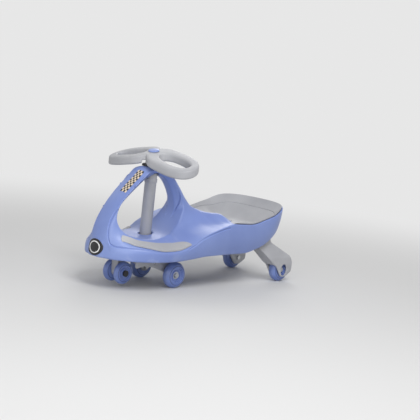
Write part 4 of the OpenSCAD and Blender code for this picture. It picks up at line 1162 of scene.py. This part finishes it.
# %% [markdown]
# ## Ribs and blocks under the deck
# A moulding this size is stiffened from below. Three ribs run across and two along, and two blocks take the
# screws of the rear brackets. Boxes cut off by the deck would need a boolean for each. Their tops run into
# the wall of the shell anyway, so each one is a sheet between its lower edge and the underside of the deck.

# %% Shape of a rib
RIB_THICK, RIB_LOW, LONG_RIB_LOW, RIB_INTO, RIB_CLEAR = 3.0, 136.0, 148.0, 1.6, 2.0
REACH_FROM, REACH_TO, REACH_STEPS = 100.0, 152.0, 105


def rib_mesh(spine, low, across):
    """Points and faces of a rib: plan points along it, its lower edge, and the way of its thickness."""
    top = top_z(spine[:, 0], spine[:, 1]) - RIB_INTO
    lower = np.column_stack([spine, np.full(len(spine), low)])
    upper = np.column_stack([spine, np.maximum(top, low + 1)])
    grid = np.concatenate([lower, upper])
    shift = np.array(across) * RIB_THICK / 2
    return np.concatenate([grid + shift, grid - shift]), sheet_faces(2, len(spine))


def rib_reach(x):
    """How far out a cross rib runs at its lower edge, inside the skirt's wall."""
    outs = np.linspace(REACH_FROM, REACH_TO, REACH_STEPS)
    gauge = side_gauge(np.column_stack([np.full(REACH_STEPS, x), outs, np.full(REACH_STEPS, RIB_LOW)]))
    return outs[gauge < 1].max() - RIB_CLEAR


def joined_meshes(meshes):
    """Points and faces of several meshes in one."""
    points, faces, count = [], [], 0
    for its_points, its_faces in meshes:
        faces.extend((np.asarray(its_faces) + count).tolist())
        points.append(its_points)
        count += len(its_points)
    return np.concatenate(points), faces


print("a rib in the middle of the seat reaches", round(float(rib_reach(aft(0.57))), 1), "mm out")

# %% Ribs and blocks
CROSS_RIBS, CROSS_STEPS = [aft(0.46), aft(0.57), aft(0.68)], 61
LONG_RIB_Y, LONG_RIB_FRONT, LONG_RIB_BACK, LONG_STEPS = 42.0, aft(0.44), aft(0.8), 41
BLOCK_X, BLOCK_Y, BLOCK_LOW = (-429.0, -379.0, 9), (74.0, 111.0, 7), 164.0
RIB_EDGE_ROUND = 0.0005
rib_meshes = []
for x in CROSS_RIBS:
    reach = rib_reach(x)
    spine = np.column_stack([np.full(CROSS_STEPS, x), np.linspace(-reach, reach, CROSS_STEPS)])
    rib_meshes.append(rib_mesh(spine, RIB_LOW, (1, 0, 0)))
for y in (-LONG_RIB_Y, LONG_RIB_Y):
    spine = np.column_stack([np.linspace(LONG_RIB_FRONT, LONG_RIB_BACK, LONG_STEPS), np.full(LONG_STEPS, y)])
    rib_meshes.append(rib_mesh(spine, LONG_RIB_LOW, (0, 1, 0)))
for side in (1, -1):
    plan = np.stack(np.meshgrid(np.linspace(*BLOCK_X), side * np.linspace(*BLOCK_Y), indexing="ij"), -1)
    flat = plan.reshape(-1, 2)
    top = np.column_stack([flat, top_z(flat[:, 0], flat[:, 1]) - RIB_INTO])
    under = np.column_stack([flat, np.full(len(flat), BLOCK_LOW)])
    rib_meshes.append((np.concatenate([top, under]), sheet_faces(*plan.shape[:2])))
ribs = make_piece("ribs", *joined_meshes(rib_meshes), blue_plastic, "blue_plastic", "chassis", EDGE_ANGLE)
soften(ribs, RIB_EDGE_ROUND, SHEET_ANGLE, 2)
print("ribs:", len(rib_meshes), "pieces,", len(ribs.data.vertices), "points")

# %% [markdown]
# ## Nose disc
# The nose carries a bare black disc with a plain white ring. A flat disc would cut into the round nose or
# stand off it, so its points are found on the skin itself and then lifted off it by about the thickness of
# card.

# %% Rings on the nose
DISC_WIDE, DISC_HIGH, DISC_X, DISC_Z = 58.0, 46.0, 182.0, 117.0
DISC_TURNS = 64


def disc_points(rings):
    """Rings of an oval on the nose; each ring has its share of the radius and its lift."""
    angle = np.linspace(0, 2 * math.pi, DISC_TURNS, endpoint=False)
    ovals = []
    for share, lift in rings:
        y = share * DISC_WIDE / 2 * np.cos(angle)
        z = DISC_Z + share * DISC_HIGH / 2 * np.sin(angle)
        ovals.append(np.column_stack([np.full(DISC_TURNS, DISC_X), y, z]))
    spots = dropped(np.concatenate(ovals), 0, skin_field)
    lifts = np.repeat([lift for share, lift in rings], DISC_TURNS)
    return spots + skin_normals(spots, skin_field) * lifts[:, None]


def ring_faces(rings, turns, closed=False):
    """Faces between rings of points; a closed set joins the last ring to the first."""
    at = np.arange(rings * turns).reshape(rings, turns)
    nxt = np.roll(at, -1, 0) if closed else at[1:]
    at = at if closed else at[:-1]
    return np.stack([at, np.roll(at, -1, 1), np.roll(nxt, -1, 1), nxt], -1).reshape(-1, 4)


print("rings of", DISC_TURNS, "points")

# %% Nose disc and its ring
DISC_RINGS = [(1.0, 0.1), (1.0, 1.7), (0.985, 2.1), (0.93, 2.1), (0.915, 1.5)]
DISC_RINGS += [(share, 1.5) for share in (0.8, 0.6, 0.4, 0.2, 0.03)]
BAND_RINGS = [(0.74, 1.4), (0.74, 1.8), (0.62, 1.8), (0.62, 1.4)]
disc_faces = ring_faces(len(DISC_RINGS), DISC_TURNS).tolist()
disc_faces.append(list(range((len(DISC_RINGS) - 1) * DISC_TURNS, len(DISC_RINGS) * DISC_TURNS)))
disc = make_piece("nose_disc", disc_points(DISC_RINGS), disc_faces,
                  sticker_black, "black_plastic", "chassis", EDGE_ANGLE)
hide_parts("nose_badge")
make_piece("nose_band", disc_points(BAND_RINGS), ring_faces(len(BAND_RINGS), DISC_TURNS, True),
           sticker_white, "black_plastic", "chassis", EDGE_ANGLE)
print("nose disc:", len(disc.data.vertices), "points")

# %% [markdown]
# ## Chequer
# The front leg carries a strip of chequer. An image could hold the squares, but this file draws everything
# from numbers. So each square is a small thin sheet on the deck, and all squares of one colour are one piece.

# %% Chequer strip
STRIP_FRONT, STRIP_BACK, STRIP_MID, STRIP_WIDE = 109.0, 47.0, 8.0, 24.0
STRIP_ROWS, STRIP_COLUMNS, CELL_STEPS, STRIP_GAP, STRIP_THICK = 12, 4, 3, 0.05, 0.6
strip_x = np.linspace(STRIP_FRONT, STRIP_BACK, STRIP_ROWS * CELL_STEPS + 1)
strip_y = STRIP_MID + STRIP_WIDE * np.linspace(-0.5, 0.5, STRIP_COLUMNS * CELL_STEPS + 1)
for colour_name, odd, finish in (("dark", 0, sticker_black), ("pale", 1, sticker_pale)):
    squares = []
    for row in range(STRIP_ROWS):
        for column in range(STRIP_COLUMNS):
            if (row + column) % 2 != odd:
                continue
            xs = strip_x[row * CELL_STEPS:(row + 1) * CELL_STEPS + 1]
            ys = strip_y[column * CELL_STEPS:(column + 1) * CELL_STEPS + 1]
            plan = np.stack(np.meshgrid(xs, ys, indexing="ij"), -1)
            square = sheet_points(plan, np.zeros(plan.shape[:2]), STRIP_GAP, STRIP_THICK)
            squares.append((square, sheet_faces(len(xs), len(ys))))
    make_piece("chequer_" + colour_name, *joined_meshes(squares), finish, "black_plastic", "chassis",
               EDGE_ANGLE)
print("chequer of", STRIP_ROWS, "by", STRIP_COLUMNS, "squares")

# %% [markdown]
# ## Steering wheel
# Two loops grow out of one hub, with a flat top and soft edges. A sweep would leave a seam where the loops
# meet the hub, so the wheel is a field as well: the distance to the path of a loop, cut off above and below
# by the tilted plane of the wheel, and joined to the hub by a soft minimum.

# %% Field of the steering wheel
BUSH_FLANGE, BUSH_GAP, COLLAR_HIGH, HUB_HIGH = 6.0, 0.4, 10.0, 28.0
HUB_Z = HEAD_Z + BUSH_FLANGE + BUSH_GAP + COLLAR_HIGH
CAP_Z = HUB_Z + HUB_HIGH
LOOP_IN, LOOP_MID, LOOP_OUT, LOOP_DEEP, LOOP_POWER, LOOP_STEPS = 11.0, 86.0, 75.0, 36.0, 0.86, 120
RIM_WIDE, RIM_HIGH, RIM_SOFT, RIM_BELOW, DROOP_SOFT = 24.0, 25.0, 7.0, 1.0, 8.0
WAIST_BROAD, WAIST_REACH = 1.5, 55.0
HUB_R, HUB_SQUEEZE, HUB_SOFT, HUB_FOOT_SOFT, HUB_TOP_SOFT = 21.0, 0.86, 16.0, 3.0, 3.0
UNDER_R, UNDER_SOFT = 34.0, 2.0
DROOP, TILT = math.radians(9.5), math.radians(19.0)
turn = np.linspace(0, 2 * math.pi, LOOP_STEPS, endpoint=False)
loop_line = np.column_stack([
    LOOP_DEEP * np.sign(np.cos(turn)) * np.abs(np.cos(turn)) ** LOOP_POWER,
    LOOP_MID + LOOP_OUT * np.sign(np.sin(turn)) * np.abs(np.sin(turn)) ** LOOP_POWER])


def wheel_plane(x, out):
    """Height of the middle of the rim; it falls towards the nose and towards the ends."""
    beyond = 0.5 * (out - LOOP_IN + np.hypot(out - LOOP_IN, DROOP_SOFT))
    return CAP_Z - RIM_HIGH / 2 - RIM_BELOW - beyond * math.tan(DROOP) - x * math.tan(TILT)


def steering_field(p):
    """Distance to the steering wheel."""
    x, y, z = p.T
    out = np.abs(y)
    gap, corner = line_distance(np.stack([x, out], -1), loop_line)
    waist = smooth((loop_line[corner, 1] - LOOP_IN) / WAIST_REACH)
    broad = RIM_WIDE / 2 * mix(WAIST_BROAD, 1.0, waist)
    height = (z - wheel_plane(x, out)) * math.cos(TILT)
    loops = soft_max(np.abs(gap) - broad, np.abs(height) - RIM_HIGH / 2, RIM_SOFT)
    hub = soft_max(np.hypot(x, y * HUB_SQUEEZE) - HUB_R, height - RIM_HIGH / 2, RIM_SOFT)
    hub = soft_max(hub, HUB_Z - z, HUB_FOOT_SOFT)
    joined = soft_max(-soft_max(-loops, -hub, HUB_SOFT), height - RIM_HIGH / 2, HUB_TOP_SOFT)
    return soft_max(joined, np.minimum(HUB_Z - z, UNDER_R - np.hypot(x, y)), UNDER_SOFT)


print("hub from", HUB_Z, "to", CAP_Z, "mm")

# %% Steering wheel
WHEEL_CELL, WHEEL_LOW, WHEEL_HIGH = 2.4, (-58.0, 0.0, 322.0), (60.0, 178.0, 412.0)
wheel_points, wheel_faces = field_skin(steering_field, WHEEL_LOW, WHEEL_HIGH, WHEEL_CELL)
steering_wheel = make_piece("grips", wheel_points, wheel_faces, grip_finish, "grey_plastic", "steering")
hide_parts("steering_wheel")
print("steering wheel:", len(wheel_points), "points, z", wheel_points[:, 2].min(), wheel_points[:, 2].max())

# %% [markdown]
# ## Cap on the hub
# A small oval cap hides the bolt in the hub. A flattened sphere would do, but a real cap has a short upright
# edge and then a shallow dome. So it is drawn as rings, each with its share of the oval and its height.

# %% Cap on the hub
CAP_LONG, CAP_WIDE, CAP_TURNS, CAP_SUNK = 13.0, 19.0, 64, 0.2
CAP_RINGS = [(1.0, 0.0), (1.0, 1.7), (0.97, 2.5), (0.9, 3.0), (0.7, 3.4), (0.4, 3.6), (0.02, 3.7)]
angle = np.linspace(0, 2 * math.pi, CAP_TURNS, endpoint=False)
oval = np.column_stack([CAP_LONG * np.cos(angle), CAP_WIDE * np.sin(angle), np.zeros(CAP_TURNS)])
cap_points = np.concatenate([share * oval + (0, 0, height) for share, height in CAP_RINGS])
lean = np.array([[math.cos(TILT), 0, math.sin(TILT)], [0, 1, 0], [-math.sin(TILT), 0, math.cos(TILT)]])
cap = make_piece("hub_cap", cap_points @ lean.T + (0, 0, CAP_Z - CAP_SUNK),
                 ring_faces(len(CAP_RINGS), CAP_TURNS), blue_plastic, "blue_plastic", "steering", SHEET_ANGLE)
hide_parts("steering_cap")
print("cap of", len(cap_points), "points")

# %% [markdown]
# ## Turned pieces
# Wheels, hubs and the column are turned shapes: a closed line with rounded corners, spun round an axle. The
# Screw modifier does that too, but the corners would still have to be rounded first. Here both are done at
# once. The line is drawn as the distance from the axle and the place along it.

# %% Spin a line


def rounded_line(corners, steps=4):
    """A closed line of corners, each with its radius from the axle, its place and its rounding."""
    line = []
    for k, (reach, place, radius) in enumerate(corners):
        spot = np.array((reach, place), float)
        before = np.array(corners[k - 1][:2]) - spot
        after = np.array(corners[(k + 1) % len(corners)][:2]) - spot
        before, after = before / np.linalg.norm(before), after / np.linalg.norm(after)
        run = radius / math.tan(math.acos(float(np.clip(before @ after, -1, 1))) / 2)
        for t in np.linspace(0, 1, steps + 1) if radius else [0.0]:
            line.append(spot + before * run * (1 - t) ** 2 + after * run * t ** 2)
    return np.array(line)


def spun(name, line, centre, axis, side, finish, slot, body, turns=72):
    """A line spun about an axle through a centre, along y or z."""
    angle = np.linspace(0, 2 * math.pi, turns, endpoint=False)[:, None]
    reach = line[:, 0][None, :]
    first, second = reach * np.cos(angle), reach * np.sin(angle)
    axle = np.broadcast_to(line[:, 1][None, :] * side, first.shape)
    order = (first, axle, second) if axis == "y" else (first, second, axle)
    points = np.stack(order, -1).reshape(-1, 3) + np.array(centre)
    return make_piece(name, points, ring_faces(turns, len(line), True), finish, slot, body, EDGE_ANGLE)


square = [(1, 0, 0.2), (2, 0, 0.2), (2, 1, 0.2), (1, 1, 0.2)]
print("a rounded square has", len(rounded_line(square)), "points")

# %% [markdown]
# ## Road wheels
# Each road wheel is a tyre cast round a hub, with a ring cut into its outer face. One turned line with both
# would be shorter, but on the real wheel they are two pieces with a fine seam between them, so there are two
# lines here, a tenth of a millimetre apart.

# %% Road wheels
WHEEL_R, WHEEL_HALF, CORE_R, CORE_HALF = 38.0, 15.0, 23.0, 13.0
FIT, TREAD_ROUND, RING_DEEP, RING_MID = 0.05, 9.0, 1.2, 5.3
BEARING_R, BEARING_FACE, GROOVE_FLOOR = 11.05, 9.0, CORE_HALF - 3
TYRE = rounded_line([
    (CORE_R + FIT, -WHEEL_HALF, 0.6), (CORE_R + 6, -WHEEL_HALF, 4),
    (WHEEL_R, -WHEEL_HALF + TREAD_ROUND, TREAD_ROUND), (WHEEL_R, WHEEL_HALF - TREAD_ROUND, TREAD_ROUND),
    (CORE_R + 7.2, WHEEL_HALF, 1.4), (CORE_R + 6, WHEEL_HALF - RING_DEEP, 0.5),
    (CORE_R + 4.6, WHEEL_HALF - RING_DEEP, 0.5), (CORE_R + 3.6, WHEEL_HALF, 0.7),
    (CORE_R + FIT, WHEEL_HALF, 0.8)])
HUB = rounded_line([
    (BEARING_R, -CORE_HALF, 0.5), (CORE_R - FIT, -CORE_HALF, 0.8), (CORE_R - FIT, CORE_HALF, 0.9),
    (20.4, CORE_HALF, 0.8), (19.8, GROOVE_FLOOR, 0.5), (16.4, GROOVE_FLOOR, 0.5), (15.8, CORE_HALF, 0.8),
    (14.2, CORE_HALF, 0.8), (14.0, BEARING_FACE, 0.4), (BEARING_R, BEARING_FACE, 0.4)])
WHEELS = {"front_left": (-63.0, 72.0, 1), "front_right": (-63.0, 72.0, -1),
          "rear_left": (-495.0, 101.0, 1), "rear_right": (-495.0, 101.0, -1)}
for wheel_name, (x, y, side) in WHEELS.items():
    axle = (x, side * y, WHEEL_R)
    finish = cast_tyre(
        wheel_name + "_cast", to_frame(axle).tolist(), WHEEL_R / 1000, (CORE_R + RING_MID) / 1000)
    body = wheel_name + "_wheel"
    tyre = spun(wheel_name + "_cast_tyre", TYRE, axle, "y", side, finish, "blue_wheel", body)
    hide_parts(wheel_name + "_tyre")
    hub = spun(wheel_name + "_cast_hub", HUB, axle, "y", side, hub_finish, "blue_wheel", body)
    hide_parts(wheel_name + "_hub")
print("road wheels:", list(WHEELS))

# %% [markdown]
# ## Twin wheels
# Two narrow wheels turn on one pin ahead of the road wheels and keep the car from tipping. They could be made
# as a tyre and a hub too, but they are cast in one piece and have no seam. So a single line has the tread,
# the ring, the dished face and the bore for the pin.

# %% Twin wheels
TWIN_R, TWIN_HALF, TWIN_X, TWIN_Y, TWIN_Z, PIN_R = 32.5, 9.0, 91.0, 23.0, 42.5, 5.05
TWIN_RING_FLOOR, TWIN_DISH, TWIN_BOSS, TWIN_RING_IN = TWIN_HALF - 0.9, TWIN_HALF - 4, TWIN_HALF - 1, 8.5
TWIN = rounded_line([
    (PIN_R, -TWIN_HALF, 0.4), (TWIN_R - 8, -TWIN_HALF, 2), (TWIN_R - 1, -TWIN_DISH, 4), (TWIN_R, 0, 3),
    (TWIN_R - 1, TWIN_DISH, 4), (TWIN_R - 7, TWIN_HALF, 1.6), (TWIN_R - 8, TWIN_RING_FLOOR, 0.4),
    (TWIN_R - 9, TWIN_RING_FLOOR, 0.4), (TWIN_R - 10, TWIN_HALF, 0.6), (TWIN_R - 12, TWIN_HALF, 0.8),
    (TWIN_R - 13, TWIN_DISH, 0.8), (14, TWIN_DISH, 0.8), (13, TWIN_BOSS, 0.9), (PIN_R, TWIN_BOSS, 0.4)])
for side_name, side in (("left", 1), ("right", -1)):
    axle = (TWIN_X, side * TWIN_Y, TWIN_Z)
    finish = cast_tyre(
        "twin_" + side_name + "_cast", to_frame(axle).tolist(), TWIN_R / 1000, (TWIN_R - TWIN_RING_IN) / 1000)
    twin = spun("twin_" + side_name + "_cast_wheel", TWIN, axle, "y", side, finish, "blue_wheel",
                "twin_" + side_name + "_wheel")
    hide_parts("twin_wheel_" + side_name)
print("twin wheels of", TWIN_R, "mm radius")

# %% [markdown]
# ## Column cover
# A grey sleeve hides the steel tube of the steering column. A plain cylinder would nearly do, but the sleeve
# has a bead just under the head of the arch, so it is a turned line like the wheels.

# %% Column cover
COLUMN_R, TUBE_R, COVER_LOW = 17.0, 11.0, 89.0
BEAD_R, BEAD_TOP, BEAD_LOW = COLUMN_R + 1.6, HEAD_LOW - 4.0, HEAD_LOW - 14.0
COVER = rounded_line([
    (TUBE_R, COVER_LOW, 0), (COLUMN_R, COVER_LOW, 0.8), (COLUMN_R, BEAD_LOW - 1, 0.6),
    (BEAD_R, BEAD_LOW, 0.8), (BEAD_R, BEAD_TOP, 0.8), (COLUMN_R, BEAD_TOP + 1, 0.4),
    (COLUMN_R, HUB_Z, 0.4), (TUBE_R, HUB_Z, 0)])
cover = spun("column_sleeve", COVER, (0, 0, 0), "z", 1, grip_finish, "grey_plastic", "steering", 96)
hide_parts("column_cover")
print("column from", COVER_LOW, "to", HUB_Z, "mm")

# %% [markdown]
# ## Boss of the lower bush
# Under the floor a round boss holds the lower bush of the column. It belongs to the shell, but it is a plain
# tube, so it is turned here and its top runs into the shell's wall.

# %% Boss of the lower bush
BOSS_BORE, BOSS_R, BOSS_LOW, BOSS_TOP = 21.4, 27.0, 94.6, 146.0
BOSS = rounded_line([(BOSS_BORE, BOSS_LOW, 0.4), (BOSS_R, BOSS_LOW, 1.0), (BOSS_R, BOSS_TOP, 0),
                     (BOSS_BORE, BOSS_TOP, 0)])
boss = spun("floor_boss", BOSS, (0, 0, 0), "z", 1, blue_plastic, "blue_plastic", "chassis", 64)
print("boss of", len(boss.data.vertices), "points")

# %% [markdown]
# ## Floor, light and world
# A pale seamless floor keeps the eye on the car. A curved backdrop would only work from the front, and the
# car is looked at from every side. So the floor is a wide disc whose own colour fades into the world's colour
# with distance, and no horizon shows.

# %% Floor
PALE = (0.80, 0.80, 0.80, 1.0)
FLOOR_PALE = (0.66, 0.66, 0.66, 1.0)
FLOOR_R, FLOOR_SIDES, FADE_START, FADE_END = 14.0, 64, 0.7, 2.4
floor_mesh = bpy.data.meshes.new("floor")
turn = np.linspace(0, 2 * math.pi, FLOOR_SIDES, endpoint=False)
ring = np.column_stack([FLOOR_R * np.cos(turn), FLOOR_R * np.sin(turn), np.zeros(FLOOR_SIDES)])
floor_mesh.from_pydata(ring.tolist(), [], [list(range(FLOOR_SIDES))])
floor = bpy.data.objects.new("floor", floor_mesh)
bpy.context.scene.collection.objects.link(floor)
floor_finish, start, shader = start_finish("floor")
away = start.surface_place().length()
shader.inputs["Base Color"].default_value = FLOOR_PALE
shader.inputs["Roughness"].default_value = 0.8
glow = start.node("ShaderNodeEmission", None, {"Color": PALE, "Strength": 1.0})
surface = Wire(start.tree, shader.outputs[0])
faded = start.node("ShaderNodeMixShader", None, {0: away.between(FADE_START, FADE_END), 1: surface, 2: glow})
output = next(n for n in start.tree.nodes if n.type == "OUTPUT_MATERIAL")
start.tree.links.new(faded.socket, output.inputs["Surface"])
floor_mesh.materials.append(floor_finish)
print("floor of", FLOOR_R, "m, fading from", FADE_START, "to", FADE_END, "m")

# %% [markdown]
# ## World
# The world gives an even light from all sides. To the camera, and in anything shiny or clear, it shows the
# pale colour of the studio instead, so the background can be pale without flooding the car with light.

# %% World
EVEN_LIGHT = 0.42
world = bpy.data.worlds.new("studio")
bpy.context.scene.world = world
world.use_nodes = True
world.node_tree.nodes.clear()
sky = Wire(world.node_tree)
rays = ("Is Camera Ray", "Is Glossy Ray", "Is Transmission Ray")
camera_ray, glossy_ray, clear_ray = (sky.node("ShaderNodeLightPath", output=ray) for ray in rays)
seen = camera_ray + glossy_ray + clear_ray
even = sky.node("ShaderNodeBackground", None, {"Color": (1.0, 1.0, 1.0, 1.0), "Strength": EVEN_LIGHT})
plain = sky.node("ShaderNodeBackground", None, {"Color": PALE, "Strength": 1.0})
chosen = sky.node("ShaderNodeMixShader", None, {0: seen, 1: even, 2: plain})
sky_out = world.node_tree.nodes.new("ShaderNodeOutputWorld")
world.node_tree.links.new(chosen.socket, sky_out.inputs["Surface"])
print("even light of", EVEN_LIGHT)

# %% [markdown]
# ## Lamps
# Three soft lamps shape the car: one high at the front left, one low ahead that fills the shadows, and one
# behind on the right that parts the car from the floor. Point lamps would give hard shadows, so all three are
# wide area lamps.

# %% Lamps
LAMP_AIM = Vector((0.0, 0.0, 0.15))


def soft_lamp(name, place, size, power):
    """An area lamp at a place, turned to the car. Sizes are in metres, power in watts."""
    lamp = bpy.data.objects.new(name, bpy.data.lights.new(name, "AREA"))
    lamp.data.size = size
    lamp.data.energy = power
    lamp.location = place
    lamp.rotation_euler = (LAMP_AIM - Vector(place)).to_track_quat("-Z", "Y").to_euler()
    bpy.context.scene.collection.objects.link(lamp)


soft_lamp("key", (0.8, 1.6, 2.3), 1.2, 40.0)
soft_lamp("fill", (2.0, 1.4, 1.0), 1.6, 17.0)
soft_lamp("back", (-1.8, -1.6, 1.9), 1.4, 18.0)

# %% [markdown]
# ## The solids that stay
# Bolts, bushes, bearings and the brackets keep their own solids. Each gets the finish of its slot. Small
# turned pieces only need their edges softened, which a bevel does. The brackets and the swing arm are larger
# mouldings with inner corners that a bevel leaves sharp, so they are remade from fine cells and smoothed.

# %% Finishes and soft edges for the solids that stay
slot_finish = {"blue_plastic": blue_plastic, "grey_plastic": grey_plastic, "black_plastic": black_plastic,
               "clear_plastic": clear_plastic, "steel": steel, "blue_wheel": hub_finish}
REMADE = {"rear_bracket_left": 0.0019, "rear_bracket_right": 0.0019, "swing_arm": 0.0017}
EDGE_WIDTH, SMOOTHING, SMOOTH_ROUNDS = 0.0005, 0.5, 8
for entry in frame["record"]["subparts"]:
    solid = frame["nodes"][entry["node"]]
    solid.data.materials.clear()
    solid.data.materials.append(slot_finish[entry["material_slot"]])
    if entry["node"] in REMADE:
        cells = solid.modifiers.new("cells", "REMESH")
        cells.mode = "VOXEL"
        cells.voxel_size = REMADE[entry["node"]]
        cells.use_smooth_shade = True
        rounding = solid.modifiers.new("rounding", "SMOOTH")
        rounding.factor = SMOOTHING
        rounding.iterations = SMOOTH_ROUNDS
    else:
        soften(solid, EDGE_WIDTH)
